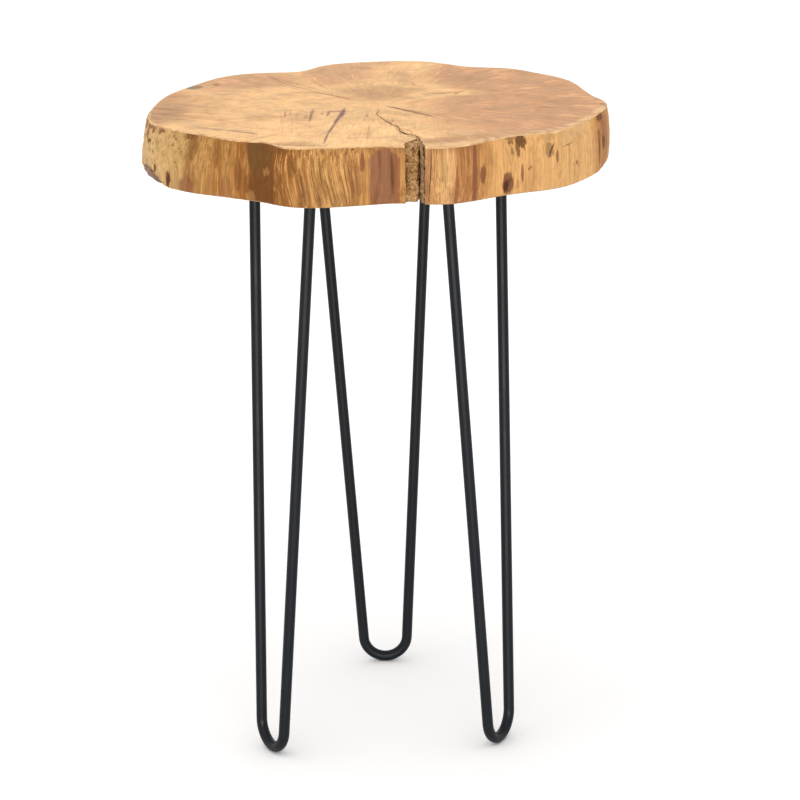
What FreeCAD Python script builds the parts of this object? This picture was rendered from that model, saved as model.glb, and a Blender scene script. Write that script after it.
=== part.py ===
import FreeCAD, Part
import math
import os

# Side table: a live-edge slice of a tree trunk on three hairpin legs of bent rod.
# Millimetres and degrees. +Z is up, the front is towards -Y, and the origin is on the
# floor under the middle of the wooden top.

V = FreeCAD.Vector
UP = V(0, 0, 1)

# Whole table
table_height = 590.0
overrun = 20.0

# Wooden top
top_thickness = 50.0
top_radius = 206.0
waist_swell = 2.0
WALL_BAND_COUNT = 4

# Bark pocket: a notch in the front rim, open from top to underside
cleft_side_offset = 32.0
cleft_width = 17.3
cleft_depth = 52.0
bark_setback = 11.0
bark_height_gap = 1.2

# Drying checks in the upper face
main_check_width = 2.4
main_check_depth = 7.0
hair_check_width = 0.9
hair_check_depth = 3.0

# Hairpin legs
rod_diameter = 10.0
bend_radius = 21.5
rod_spacing_at_plate = 102.4
foot_circle_radius = 133.0
leg_splay = 2.7

# Mounting plates
plate_length = 130.0
plate_width = 50.0
plate_thickness = 4.0
plate_corner_radius = 8.0
rod_to_plate_edge = 13.0

# Weld beads round the rod ends
weld_leg = 4.0
weld_toe = 0.6

# Coach screws: three to a plate
screw_diameter = 5.0
screw_length = 30.0
screw_head_across_flats = 8.0
screw_head_height = 3.5
screw_hole_clearance = 0.6
pilot_clearance = 0.1
pilot_extra_depth = 1.5
inner_screw_edge_distance = 10.0

# Rim of the slice: direction in degrees from +X, then the radius of the upper edge and of
# the lower edge, as shares of the top radius
RIM_SHARES = (
    (0, 0.978, 1.000),
    (13, 0.951, 0.980),
    (26, 0.985, 1.005),
    (44, 1.002, 1.019),
    (53, 1.007, 1.019),
    (63, 0.961, 0.985),
    (72, 1.015, 1.034),
    (81, 1.054, 1.050),
    (92, 1.027, 1.030),
    (103, 0.988, 1.005),
    (108, 0.927, 0.956),
    (114, 0.866, 0.903),
    (122, 0.910, 0.932),
    (134, 0.976, 0.985),
    (148, 0.951, 0.971),
    (165, 0.951, 0.982),
    (178, 0.961, 1.018),
    (192, 1.000, 1.034),
    (203, 1.044, 1.050),
    (215, 1.034, 1.072),
    (225, 1.002, 1.053),
    (237, 1.017, 1.030),
    (243, 0.998, 1.041),
    (250, 1.075, 1.082),
    (257, 1.058, 1.074),
    (268, 1.006, 1.008),
    (276, 1.020, 0.994),
    (284, 1.081, 1.049),
    (295, 1.029, 1.027),
    (305, 0.998, 1.013),
    (316, 1.051, 1.053),
    (325, 1.039, 1.049),
    (334, 1.015, 1.036),
    (346, 1.010, 1.015),
)

# Where the mouth of the bark pocket meets the rim, as a share of the top radius
CLEFT_MOUTH_SHARE = 1.05

# Plan of the bark pocket: its left wall, its tip and its right wall, each point across as
# a share of its width from its middle, and inwards as a share of its depth
CLEFT_LEFT_SHARES = (
    (-0.50, 0.00),
    (-0.51, 0.43),
    (-0.19, 0.59),
    (0.09, 0.77),
)
CLEFT_TIP_SHARES = (0.145, 1.00)
CLEFT_RIGHT_SHARES = (
    (0.23, 0.83),
    (0.31, 0.58),
    (0.39, 0.40),
    (0.50, 0.00),
)

# The bark that is left in the pocket stands against its left wall: the right side of the
# bark, from the mouth inwards, in the same shares
BARK_FACE_SHARES = (
    (0.03, 0.62),
    (0.13, 0.42),
    (0.14, 0.00),
)

# Drying checks, as plan points in shares of the top radius. The main check runs on from
# the tip of the bark pocket.
MAIN_CHECK_SHARES = (
    (0.143, -0.765),
    (0.112, -0.70),
    (0.086, -0.578),
    (0.057, -0.52),
    (0.024, -0.395),
    (0.003, -0.293),
    (0.018, -0.211),
)
HAIR_CHECK_SHARES = {
    "fork": ((0.057, -0.52), (0.070, -0.47), (0.062, -0.42)),
    "front_right": ((0.050, -0.130), (0.150, -0.235), (0.237, -0.347)),
    "right": ((0.106, 0.128), (0.24, 0.17), (0.396, 0.223)),
    "back_left": ((-0.494, 0.660), (-0.345, 0.43), (-0.101, 0.058)),
}

# Legs: name, and where the foot is, to the right of the middle and behind it, in shares of
# the foot circle's radius. Then the direction that the plate faces and how far the leg
# leans sideways, both in degrees. The legs differ because they are placed by hand.
LEG_PLACE_SHARES = (
    ("front_left", -0.787, -0.692, 210.6, -0.08),
    ("front_right", 0.798, -0.595, 330.3, 0.30),
    ("back", 0.011, 0.959, 90.1, 0.55),
)

rod_radius = rod_diameter / 2
underside_height = table_height - top_thickness
plate_underside = underside_height - plate_thickness


def polar(radius, degrees, height):
    angle = math.radians(degrees)
    return V(radius * math.cos(angle), radius * math.sin(angle), height)


def prism(points, bottom, top):
    """A straight-sided block over a plan outline."""
    ring = [V(point.x, point.y, bottom) for point in points]
    face = Part.Face(Part.makePolygon(ring + ring[:1]))
    return face.extrude(UP * (top - bottom))


def save(name, shape):
    shape.exportStep("parts/" + name + ".step")


# Wooden top

def rim_wire(height, radii):
    points = [polar(radius, row[0], height) for radius, row in zip(radii, RIM_SHARES)]
    curve = Part.BSplineCurve()
    curve.interpolate(Points=points, PeriodicFlag=True)
    return Part.Wire(curve.toShape())


def plain_slice():
    """The slice with its live edge, before the bark pocket, checks and screw holes."""
    sections = []
    for band in range(WALL_BAND_COUNT + 1):
        rise = band / WALL_BAND_COUNT
        swell = waist_swell * (1 - (2 * rise - 1) ** 2)
        shares = [low + (high - low) * rise for direction, high, low in RIM_SHARES]
        radii = [top_radius * share + swell for share in shares]
        sections.append(rim_wire(underside_height + rise * top_thickness, radii))
    return Part.makeLoft(sections, True, True)


def cleft_point(across_share, inward_share):
    mouth_y = -top_radius * CLEFT_MOUTH_SHARE
    return V(
        cleft_side_offset + across_share * cleft_width,
        mouth_y + inward_share * cleft_depth,
        0,
    )


def pocket_block(rows, bottom, top):
    """A block over rows of pocket points, carried out past the rim at its mouth."""
    points = [cleft_point(*row) for row in rows]
    points.append(points[-1] - V(0, overrun, 0))
    points.append(points[0] - V(0, overrun, 0))
    return prism(points, bottom, top)


def plan_points(shares):
    return [V(x, y, 0) * top_radius for x, y in shares]


def check_cutter(spine, width, depth):
    """A drying check: widest at its first point and closing to nothing at its last."""
    count = len(spine)
    left = []
    right = []
    for index, point in enumerate(spine[:-1]):
        before = spine[max(index - 1, 0)]
        after = spine[index + 1]
        along = (after - before).normalize()
        side = UP.cross(along) * (width / 2 * (1 - index / count))
        left.append(point + side)
        right.append(point - side)
    outline = left + [spine[-1]] + right[::-1]
    return prism(outline, table_height - depth, table_height + overrun)


def make_top(plain):
    cleft = CLEFT_LEFT_SHARES + (CLEFT_TIP_SHARES,) + CLEFT_RIGHT_SHARES
    wood = plain.cut(pocket_block(cleft, underside_height - overrun, table_height + overrun))
    main_start = cleft_point(*CLEFT_TIP_SHARES) - V(0, main_check_width / 2, 0)
    main_spine = [main_start] + plan_points(MAIN_CHECK_SHARES)
    wood = wood.cut(check_cutter(main_spine, main_check_width, main_check_depth))
    for shares in HAIR_CHECK_SHARES.values():
        wood = wood.cut(check_cutter(plan_points(shares), hair_check_width, hair_check_depth))
    pilot_radius = screw_diameter / 2 + pilot_clearance
    depth = screw_length - plate_thickness + pilot_extra_depth
    for name, leg in legs():
        for spot in screw_spots(leg):
            start = V(spot.x, spot.y, underside_height - overrun)
            wood = wood.cut(Part.makeCylinder(pilot_radius, depth + overrun, start, UP))
    return wood


def make_bark(plain):
    """The bark's front follows the rim, set back from it."""
    set_back = plain.copy()
    set_back.translate(V(0, bark_setback, 0))
    rows = CLEFT_LEFT_SHARES + BARK_FACE_SHARES
    bottom = underside_height + bark_height_gap
    return set_back.common(pocket_block(rows, bottom, table_height - bark_height_gap))


# Hairpin legs

def legs():
    """Each leg's name, with its foot, the direction of its plate and its lean."""
    for name, across_share, back_share, direction, lean in LEG_PLACE_SHARES:
        foot = V(across_share, back_share, 0) * foot_circle_radius + UP * rod_radius
        yield name, (foot, direction, lean)


def leg_frame(leg):
    """Centre of the foot bend, the leg's cross direction and its axis."""
    foot, direction, lean = leg
    inward = polar(-1, direction, 0)
    cross = UP.cross(inward * -1)
    splay = math.radians(leg_splay)
    rise = inward * math.sin(splay) + UP * math.cos(splay)
    turn = math.radians(lean)
    axis = rise * math.cos(turn) + cross * math.sin(turn)
    side = cross * math.cos(turn) - rise * math.sin(turn)
    return foot + rise * bend_radius, side, axis


def plate_reach(leg):
    """How far along the leg's axis the underside of the plate is from the bend's centre."""
    centre, side, axis = leg_frame(leg)
    return (plate_underside - centre.z) / axis.z


def rod_angle(leg):
    """Angle of each rod to the leg's axis, in radians, so that it leaves the bend tangentially."""
    half = rod_spacing_at_plate / 2
    reach = plate_reach(leg)
    return math.acos(bend_radius / math.hypot(half, reach)) - math.atan2(reach, half)


def rod_start(leg, hand):
    """Where a rod leaves the foot bend, and its direction upwards: hand is -1 or 1."""
    centre, side, axis = leg_frame(leg)
    angle = rod_angle(leg)
    outwards = side * math.cos(angle) * hand - axis * math.sin(angle)
    upwards = side * math.sin(angle) * hand + axis * math.cos(angle)
    return centre + outwards * bend_radius, upwards


def rod_end(leg, hand):
    """Where a rod's centre line meets the plate."""
    start, upwards = rod_start(leg, hand)
    return start + upwards * ((plate_underside - start.z) / upwards.z)


def weld_bead(spot):
    """A bead in the corner between a rod's end and the plate."""
    return Part.makeCone(
        rod_radius + weld_toe, rod_radius + weld_leg, weld_leg,
        V(spot.x, spot.y, plate_underside - weld_leg), UP,
    )


def make_rod(leg):
    """One rod bent into a narrow U, its ends level under the plate, with their weld beads."""
    centre, side, axis = leg_frame(leg)
    start, upwards = rod_start(leg, -1)
    section = Part.Face(Part.Wire(Part.makeCircle(rod_radius, start, upwards)))
    sweep = 180 - 2 * math.degrees(rod_angle(leg))
    rod = section.revolve(centre, side.cross(axis), sweep)
    beads = []
    for hand in (-1, 1):
        start, upwards = rod_start(leg, hand)
        end = rod_end(leg, hand)
        length = end.distanceToPoint(start) + overrun
        rod = rod.fuse(Part.makeCylinder(rod_radius, length, start, upwards))
        beads.append(weld_bead(end))
    above = Part.makeBox(
        plate_length * 2, plate_length * 2, overrun * 2,
        V(centre.x - plate_length, centre.y - plate_length, plate_underside),
    )
    return rod.cut(above).fuse(beads).removeSplitter()


def plate_axes(leg):
    foot, direction, lean = leg
    outward = polar(1, direction, 0)
    return UP.cross(outward), outward


def plate_centre(leg):
    outward = plate_axes(leg)[1]
    between_rods = (rod_end(leg, -1) + rod_end(leg, 1)) / 2
    inset = plate_width / 2 - rod_to_plate_edge
    return V(between_rods.x, between_rods.y, 0) - outward * inset


def screw_spots(leg):
    """One screw between the rods and one in each inner corner of the plate."""
    across, outward = plate_axes(leg)
    centre = plate_centre(leg)
    spots = [centre + outward * (plate_width / 2 - rod_to_plate_edge)]
    corner_across = across * (plate_length / 2 - inner_screw_edge_distance)
    corner_inward = outward * (plate_width / 2 - inner_screw_edge_distance)
    for hand in (-1, 1):
        spots.append(centre + corner_across * hand - corner_inward)
    return spots


def make_plate(leg):
    across, outward = plate_axes(leg)
    centre = plate_centre(leg)
    corners = []
    for along, out in ((-1, -1), (1, -1), (1, 1), (-1, 1)):
        corners.append(centre + across * (along * plate_length / 2) + outward * (out * plate_width / 2))
    plate = prism(corners, plate_underside, underside_height)
    upright = [edge for edge in plate.Edges if edge.BoundBox.ZLength > plate_thickness / 2]
    plate = plate.makeFillet(plate_corner_radius, upright)
    hole_radius = (screw_diameter + screw_hole_clearance) / 2
    for spot in screw_spots(leg):
        start = V(spot.x, spot.y, plate_underside - overrun)
        plate = plate.cut(Part.makeCylinder(hole_radius, plate_thickness + 2 * overrun, start, UP))
    return plate


# Coach screws

def make_screw(spot, leg):
    """A hexagonal head under the plate, and a shank up through it into the wood."""
    foot, direction, lean = leg
    corner_radius = screw_head_across_flats / 2 / math.cos(math.radians(30))
    corners = [spot + polar(corner_radius, direction + turn, 0) for turn in range(0, 360, 60)]
    head = prism(corners, plate_underside - screw_head_height, plate_underside)
    seat = V(spot.x, spot.y, plate_underside)
    shank = Part.makeCylinder(screw_diameter / 2, screw_length, seat, UP)
    return head.fuse(shank).removeSplitter()


def build():
    os.makedirs("parts", exist_ok=True)
    plain = plain_slice()
    save("wood_top", make_top(plain))
    save("bark_inclusion", make_bark(plain))
    for name, leg in legs():
        save(name + "_hairpin_rod", make_rod(leg))
        save(name + "_mounting_plate", make_plate(leg))
        for number, spot in enumerate(screw_spots(leg), start=1):
            save(name + "_screw_" + str(number), make_screw(spot, leg))


build()
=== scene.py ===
import math

import bmesh
import bpy
import numpy as np
from mathutils import Matrix, Vector, noise
from mathutils.bvhtree import BVHTree


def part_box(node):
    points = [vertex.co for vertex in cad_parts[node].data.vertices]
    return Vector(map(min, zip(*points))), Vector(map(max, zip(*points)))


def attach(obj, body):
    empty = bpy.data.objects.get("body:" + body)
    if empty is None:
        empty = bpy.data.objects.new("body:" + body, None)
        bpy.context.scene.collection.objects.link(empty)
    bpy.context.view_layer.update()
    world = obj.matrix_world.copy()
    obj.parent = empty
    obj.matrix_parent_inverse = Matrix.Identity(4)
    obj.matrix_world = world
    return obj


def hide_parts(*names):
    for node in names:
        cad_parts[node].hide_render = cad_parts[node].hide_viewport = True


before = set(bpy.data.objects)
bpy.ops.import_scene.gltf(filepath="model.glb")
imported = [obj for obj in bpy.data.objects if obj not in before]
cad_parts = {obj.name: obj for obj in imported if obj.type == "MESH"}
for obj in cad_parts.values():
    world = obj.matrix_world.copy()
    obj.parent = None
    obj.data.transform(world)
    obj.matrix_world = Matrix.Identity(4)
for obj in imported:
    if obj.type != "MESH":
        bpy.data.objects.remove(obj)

bl_info = {
    "name": "Live-edge Side Table",
    "version": (1, 0, 0),
    "blender": (4, 5, 0),
    "location": "View3D > Sidebar > Side Table",
    "description": "Builds a wood-slice side table on hairpin legs round its packed CAD model",
    "category": "Object",
}

BODY = "root"
MM = 0.001
NOISE_SEED = 4

# The legs as the CAD has them: where the foot is, to the right of the middle and behind it,
# in shares of the foot circle's radius, then the direction that the plate faces and the
# sideways lean, both in degrees
LEGS = {
    "front_left": (-0.787, -0.692, 210.6, -0.08),
    "front_right": (0.798, -0.595, 330.3, 0.30),
    "back": (0.011, 0.959, 90.1, 0.55),
}
ROD_SPACING_AT_PLATE = 102.4 * MM
FOOT_CIRCLE_RADIUS = 133.0 * MM
LEG_SPLAY = math.radians(2.7)

WOOD_LOW, WOOD_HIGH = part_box("wood_top")
THICKNESS = WOOD_HIGH.z - WOOD_LOW.z
PLATE_LOW, PLATE_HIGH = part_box("back_mounting_plate")

# Plan of the bark pocket in millimetres: its left wall from the rim inwards, its tip, and
# its right wall back out to the rim
POCKET_PLAN = (
    (23.4, -217.0),
    (23.2, -194.0),
    (28.7, -185.6),
    (33.5, -176.3),
    (34.5, -164.3),
    (36.0, -173.1),
    (37.4, -186.1),
    (38.7, -195.5),
    (40.6, -217.0),
)

# Plan of the bark in the pocket, from its front left corner round, and of the crust of bark
# on the pocket's right wall
BARK_PLAN = (
    (22.7, -200.7),
    (34.2, -200.9),
    (35.0, -193.0),
    (34.6, -184.0),
    (34.3, -168.5),
    (32.4, -175.4),
    (27.2, -184.2),
    (21.9, -193.0),
)
CRUST_PLAN = (
    (36.6, -202.5),
    (39.2, -205.0),
    (38.6, -196.0),
    (37.3, -187.0),
    (35.9, -174.5),
    (34.9, -170.5),
    (35.4, -182.0),
    (36.2, -193.0),
)

# Drying checks in the upper face: depth, then points across, along and half width, all in
# millimetres
CHECKS = {
    "main": (6.0, (
        (34.4, -170.0, 0.7), (33.4, -163.0, 0.5), (29.5, -157.6, 0.5), (25.2, -155.6, 1.3),
        (22.2, -150.0, 1.1), (20.2, -142.0, 0.35), (19.6, -128.0, 0.35), (17.6, -119.0, 0.6),
        (14.6, -112.5, 0.3), (11.6, -106.8, 0.55), (8.4, -95.0, 0.3), (5.2, -81.4, 0.25),
        (2.2, -70.0, 0.3), (0.7, -58.0, 0.2), (3.6, -43.5, 0.08),
    )),
    "fork": (2.5, ((10.6, -105.0, 0.25), (14.6, -97.0, 0.35), (12.8, -86.5, 0.1))),
    "flake": (1.5, (
        (19.0, -127.5, 0.2), (26.0, -134.0, 0.25), (30.8, -146.0, 0.2), (29.6, -156.5, 0.25),
    )),
    "front_right": (2.5, ((10.3, -26.8, 0.3), (30.9, -48.4, 0.25), (48.8, -71.5, 0.08))),
    "right": (2.5, ((21.8, 26.4, 0.08), (49.4, 35.0, 0.2), (81.6, 45.9, 0.3))),
    "back_left": (2.5, ((-101.8, 136.0, 0.15), (-71.1, 88.6, 0.25), (-20.8, 11.9, 0.1))),
}

# Rough walls of the pocket, the checks and the crust: rows of lump size and height in
# millimetres, coarse ones first
POCKET_LUMPS = ((6.0, 0.8), (2.5, 0.5))
CHECK_LUMPS = ((6.0, 0.9), (1.9, 0.5))
CRUST_LUMPS = ((9.0, 0.9),)

# Rings of faces inside the sanded arris, at both ends of the slice
RING_WIDTHS = (2.2 * MM, 9.0 * MM)

# Material slots of the slice, in their order
END_GRAIN, LIVE_EDGE, UNDERSIDE, ARRIS = range(4)

# Recesses of the live edge: degrees from the front, towards the right, and millimetres
# above the underside of the middle, half their width and height, and their depth
EDGE_HOLLOWS = (
    (-65.0, 35.5, 1.3, 2.0, 1.7),
    (-58.4, 46.0, 1.0, 3.0, 1.5),
    (-62.0, 13.5, 1.0, 4.0, 1.1),
    (-55.0, 8.5, 1.3, 6.0, 1.2),
    (-28.0, 38.0, 3.6, 13.0, 0.7),
    (1.4, 16.0, 3.2, 34.0, 0.25),
    (35.3, 46.0, 1.5, 7.0, 1.5),
    (32.0, 11.0, 1.5, 9.0, 0.5),
    (43.0, 38.0, 1.0, 9.0, 1.0),
    (66.0, 21.0, 0.9, 16.0, 0.6),
    (118.0, 30.0, 2.2, 20.0, 0.9),
    (-122.0, 18.0, 2.4, 16.0, 0.9),
    (163.0, 36.0, 1.6, 15.0, 1.0),
)

# Part of the live edge that is knobbly instead of fibrous, in degrees from the front
KNOBBLY_PART = (-84, -53)

# The bark remnant at the left end, and the worn strip under the rim at the front right:
# where each begins and ends, in degrees from the front, and the line that it stops at, as
# degrees and millimetres above the underside. The remnant lies below its line and the
# strip above.
BARK_REMNANT_PART = (-83, -55)
BARK_REMNANT_LINE = (
    (-84.0, 0.0), (-80.0, 4.0), (-74.0, 9.5), (-66.0, 10.5), (-61.0, 8.0), (-58.0, 5.0),
    (-54.5, -1.0),
)
WORN_RIM_PART = (46, 60)
WORN_RIM_LINE = (
    (44.0, 50.0), (46.0, 35.0), (51.0, 37.5), (55.0, 40.0), (59.0, 42.5), (61.0, 50.0),
)


# Settings that a user would change

class WoodTopSettings(bpy.types.PropertyGroup):
    rim_columns: bpy.props.IntProperty(
        name="Rim Columns", description="Mesh columns round the live edge",
        min=180, max=1440, default=1200,
    )
    wall_rows: bpy.props.IntProperty(
        name="Wall Rows", description="Mesh rows up the live edge", min=8, max=48, default=40,
    )
    fibre_depth: bpy.props.FloatProperty(
        name="Fibre Depth", description="Depth of the fine upright grooves of the live edge",
        subtype="DISTANCE", unit="LENGTH", min=0, max=0.002, default=0.0005,
    )
    arris_width: bpy.props.FloatProperty(
        name="Arris Width", description="Width of the sanded edge round the upper face",
        subtype="DISTANCE", unit="LENGTH", min=0.0002, max=0.003, default=0.0013,
    )
    pale_wood: bpy.props.FloatVectorProperty(
        name="Pale Wood", description="Straw-coloured wood of the upper face",
        subtype="COLOR", size=3, min=0, max=1, default=(0.775, 0.463, 0.208),
    )
    pink_wood: bpy.props.FloatVectorProperty(
        name="Pink Wood", description="Pinkish tan wood of the upper face",
        subtype="COLOR", size=3, min=0, max=1, default=(0.555, 0.290, 0.143),
    )


class BarkSettings(bpy.types.PropertyGroup):
    roughness: bpy.props.FloatProperty(
        name="Roughness", description="Height of the lumps on the bark in the pocket",
        subtype="DISTANCE", unit="LENGTH", min=0, max=0.003, default=0.0009,
    )
    voxel: bpy.props.FloatProperty(
        name="Mesh Size", description="Size of the faces of the bark's mesh",
        subtype="DISTANCE", unit="LENGTH", min=0.0004, max=0.003, default=0.0006,
    )


class LegSettings(bpy.types.PropertyGroup):
    rod_radius: bpy.props.FloatProperty(
        name="Rod Radius", description="Radius of the rod that the hairpin legs are bent from",
        subtype="DISTANCE", unit="LENGTH", default=0.005,
    )
    bend_radius: bpy.props.FloatProperty(
        name="Bend Radius", description="Radius of the foot bend, to the middle of the rod",
        subtype="DISTANCE", unit="LENGTH", default=0.0215,
    )
    ripples: bpy.props.IntProperty(
        name="Weld Ripples", description="Ripples round each weld bead", min=4, max=24,
        default=15,
    )
    coat: bpy.props.FloatVectorProperty(
        name="Powder Coat", description="Colour of the black powder coat",
        subtype="COLOR", size=3, min=0, max=1, default=(0.0075, 0.0092, 0.0118),
    )


class PlateSettings(bpy.types.PropertyGroup):
    length: bpy.props.FloatProperty(
        name="Plate Length", description="Length of a mounting plate",
        subtype="DISTANCE", unit="LENGTH", default=0.130,
    )
    width: bpy.props.FloatProperty(
        name="Plate Width", description="Width of a mounting plate",
        subtype="DISTANCE", unit="LENGTH", default=0.050,
    )
    corner_radius: bpy.props.FloatProperty(
        name="Corner Radius", description="Radius of a mounting plate's corners",
        subtype="DISTANCE", unit="LENGTH", default=0.008,
    )
    hole_radius: bpy.props.FloatProperty(
        name="Hole Radius", description="Radius of the screw holes",
        subtype="DISTANCE", unit="LENGTH", default=0.0028,
    )


class ScrewSettings(bpy.types.PropertyGroup):
    across_flats: bpy.props.FloatProperty(
        name="Across Flats", description="Width of the hexagonal head",
        subtype="DISTANCE", unit="LENGTH", default=0.008,
    )
    thread_radius: bpy.props.FloatProperty(
        name="Thread Radius", description="Radius of the screw over its thread",
        subtype="DISTANCE", unit="LENGTH", default=0.0025,
    )
    pitch: bpy.props.FloatProperty(
        name="Thread Pitch", description="Rise of the thread in one turn",
        subtype="DISTANCE", unit="LENGTH", default=0.0022,
    )


class StageSettings(bpy.types.PropertyGroup):
    camera_distance: bpy.props.FloatProperty(
        name="Camera Distance", description="Level distance from the table to the camera",
        subtype="DISTANCE", unit="LENGTH", default=2.5,
    )
    camera_height: bpy.props.FloatProperty(
        name="Camera Height", description="Height of the camera above the floor",
        subtype="DISTANCE", unit="LENGTH", default=1.05,
    )
    focal_length: bpy.props.FloatProperty(
        name="Focal Length", description="Focal length of the camera, in millimetres",
        default=126.5,
    )
    sky_strength: bpy.props.FloatProperty(
        name="Sky Strength", description="Light that comes evenly from all round", default=0.95,
    )
    key_strength: bpy.props.FloatProperty(
        name="Key Strength", description="Light of the broad lamp above the front left",
        default=1.0,
    )
    glint_strength: bpy.props.FloatProperty(
        name="Glint Strength", description="Light of the low lamp that puts gloss on the rods",
        default=38.0,
    )


# Shader nodes

# Sockets of a Mix node that mixes colours. They are taken by number, because a Mix node has
# a set of sockets with the same names for each kind of value.
MIX_SHARE = 0
MIX_FIRST = 6
MIX_SECOND = 7
MIX_RESULT = 2


class Number:
    """A shader value: arithmetic on it adds Math nodes."""

    def __init__(self, shader, socket):
        self.shader = shader
        self.socket = socket

    def math(self, operation, *others):
        return self.shader.math(operation, self, *others)

    def __add__(self, other):
        return self.math("ADD", other)

    __radd__ = __add__

    def __sub__(self, other):
        return self.math("SUBTRACT", other)

    def __rsub__(self, other):
        return self.shader.math("SUBTRACT", other, self)

    def __mul__(self, other):
        return self.math("MULTIPLY", other)

    __rmul__ = __mul__

    def __truediv__(self, other):
        return self.math("DIVIDE", other)

    def __abs__(self):
        return self.math("ABSOLUTE")

    def least(self, other):
        return self.math("MINIMUM", other)

    def most(self, other):
        return self.math("MAXIMUM", other)


class Shader:
    """One material: its nodes, its places in millimetres, and its colour as built up so far."""

    def __init__(self, name):
        self.material = bpy.data.materials.new(name)
        self.material.use_nodes = True
        self.tree = self.material.node_tree
        self.bsdf = self.tree.nodes["Principled BSDF"]
        metres = self.node("ShaderNodeTexCoord").outputs["Object"]
        self.place = self.scaled(metres, (1 / MM, 1 / MM, 1 / MM))
        self.colour = None

    def node(self, kind, settings=None, **inputs):
        """Adds a node: settings first, then the values or links of its named sockets."""
        made = self.tree.nodes.new(kind)
        for key, value in (settings or {}).items():
            if key == "stops":
                set_stops(made.color_ramp, value)
            else:
                setattr(made, key, value)
        for key, value in inputs.items():
            self.feed(made.inputs[key.replace("_", " ")], value)
        return made

    def feed(self, socket, value):
        if isinstance(value, Number):
            value = value.socket
        if isinstance(value, bpy.types.NodeSocket):
            self.tree.links.new(value, socket)
        else:
            socket.default_value = value

    def operate(self, kind, operation, values):
        made = self.node(kind, {"operation": operation})
        for socket, value in zip(made.inputs, values):
            self.feed(socket, value)
        return made

    def math(self, operation, *values):
        return Number(self, self.operate("ShaderNodeMath", operation, values).outputs[0])

    def vector(self, operation, *values):
        made = self.operate("ShaderNodeVectorMath", operation, values)
        if operation in ("LENGTH", "DOT_PRODUCT"):
            return Number(self, made.outputs["Value"])
        return made.outputs["Vector"]

    def scaled(self, vector, amounts):
        return self.vector("MULTIPLY", vector, amounts)

    def join(self, x, y, z=0.0):
        return self.node("ShaderNodeCombineXYZ", X=x, Y=y, Z=z).outputs["Vector"]

    def split(self, vector):
        made = self.node("ShaderNodeSeparateXYZ", Vector=vector)
        return [Number(self, made.outputs[axis]) for axis in "XYZ"]

    def noise(self, vector, grain=1.0, detail=3.0, roughness=0.55):
        """Cloudy noise about 0.5; grain is the size of its lumps, as one number or three."""
        if isinstance(grain, tuple):
            vector = self.scaled(vector, tuple(1 / size for size in grain))
            grain = 1.0
        made = self.node("ShaderNodeTexNoise", Vector=vector, Scale=1 / grain, Detail=detail,
                         Roughness=roughness)
        return Number(self, made.outputs["Fac"])

    def strayed(self, vector, grain, amounts, detail=2.0, by=None):
        """The place moved by noise, up to about half the amounts; by is where it's read."""
        made = self.node("ShaderNodeTexNoise", Vector=by or vector, Scale=1 / grain,
                         Detail=detail)
        stray = self.vector("SUBTRACT", made.outputs["Color"], (0.5, 0.5, 0.5))
        return self.vector("MULTIPLY_ADD", stray, amounts, vector)

    def smooth(self, value, low, high, start=0.0, end=1.0):
        """start below low and end above high, with an S-curve between."""
        if low > high:
            low, high, start, end = high, low, end, start
        made = self.node(
            "ShaderNodeMapRange", {"interpolation_type": "SMOOTHSTEP"},
            Value=value, From_Min=low, From_Max=high, To_Min=start, To_Max=end,
        )
        return Number(self, made.outputs["Result"])

    def contour(self, value, middle, half_width):
        """1 where a noise passes through a middle value, as a thin wandering line."""
        return self.smooth(abs(value - middle), half_width, 0)

    def spot(self, plan, x, y, half_length, half_width, turn=0.0, soft=0.4):
        """1 inside an ellipse and 0 outside; turn is in degrees, soft the width of its edge."""
        if turn == 0:
            scale = (1 / half_length, 1 / half_width, 0)
            start = (-x / half_length, -y / half_width, 0)
            reach = self.vector("LENGTH", self.vector("MULTIPLY_ADD", plan, scale, start))
        else:
            cosine = math.cos(math.radians(turn))
            sine = math.sin(math.radians(turn))
            lengthwise = Vector((cosine, sine, 0)) / half_length
            sidewise = Vector((-sine, cosine, 0)) / half_width
            middle = Vector((x, y, 0))
            along = self.vector("DOT_PRODUCT", plan, lengthwise) - middle.dot(lengthwise)
            aside = self.vector("DOT_PRODUCT", plan, sidewise) - middle.dot(sidewise)
            reach = (along * along + aside * aside).math("SQRT")
        return self.smooth(reach, 1 + soft, 1 - soft)

    def spots(self, plan, rows, soft=0.4):
        """The most of several spots, each row a spot's numbers with its strength last."""
        total = None
        for *numbers, strength in rows:
            one = self.spot(plan, *numbers, soft=soft) * strength
            total = one if total is None else total.most(one)
        return total

    def strokes(self, plan, rows, soft=0.5):
        """Tapered strokes: each row has both ends, half the width and the strength."""
        table = []
        for x0, y0, x1, y1, half_width, strength in rows:
            length = math.hypot(x1 - x0, y1 - y0)
            turn = math.degrees(math.atan2(y1 - y0, x1 - x0))
            table.append(((x0 + x1) / 2, (y0 + y1) / 2, length / 2, half_width, turn, strength))
        return self.spots(plan, table, soft)

    def ramp(self, value, stops):
        return self.node("ShaderNodeValToRGB", {"stops": stops}, Fac=value).outputs["Color"]

    def tones(self, value, stops):
        """A ramp between tones as they look in the studio light, 0 to 255."""
        return self.ramp(value, [(place, seen(*tone)) for place, tone in stops])

    def mix(self, share, first, second):
        made = self.node("ShaderNodeMix", {"data_type": "RGBA"})
        self.feed(made.inputs[MIX_SHARE], share)
        self.feed(made.inputs[MIX_FIRST], first)
        self.feed(made.inputs[MIX_SECOND], second)
        return made.outputs[MIX_RESULT]

    def tint(self, share, tone):
        """Lays a tone, as it looks in the studio light, over the colour so far."""
        self.colour = self.mix(share, self.colour, seen(*tone))

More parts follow.
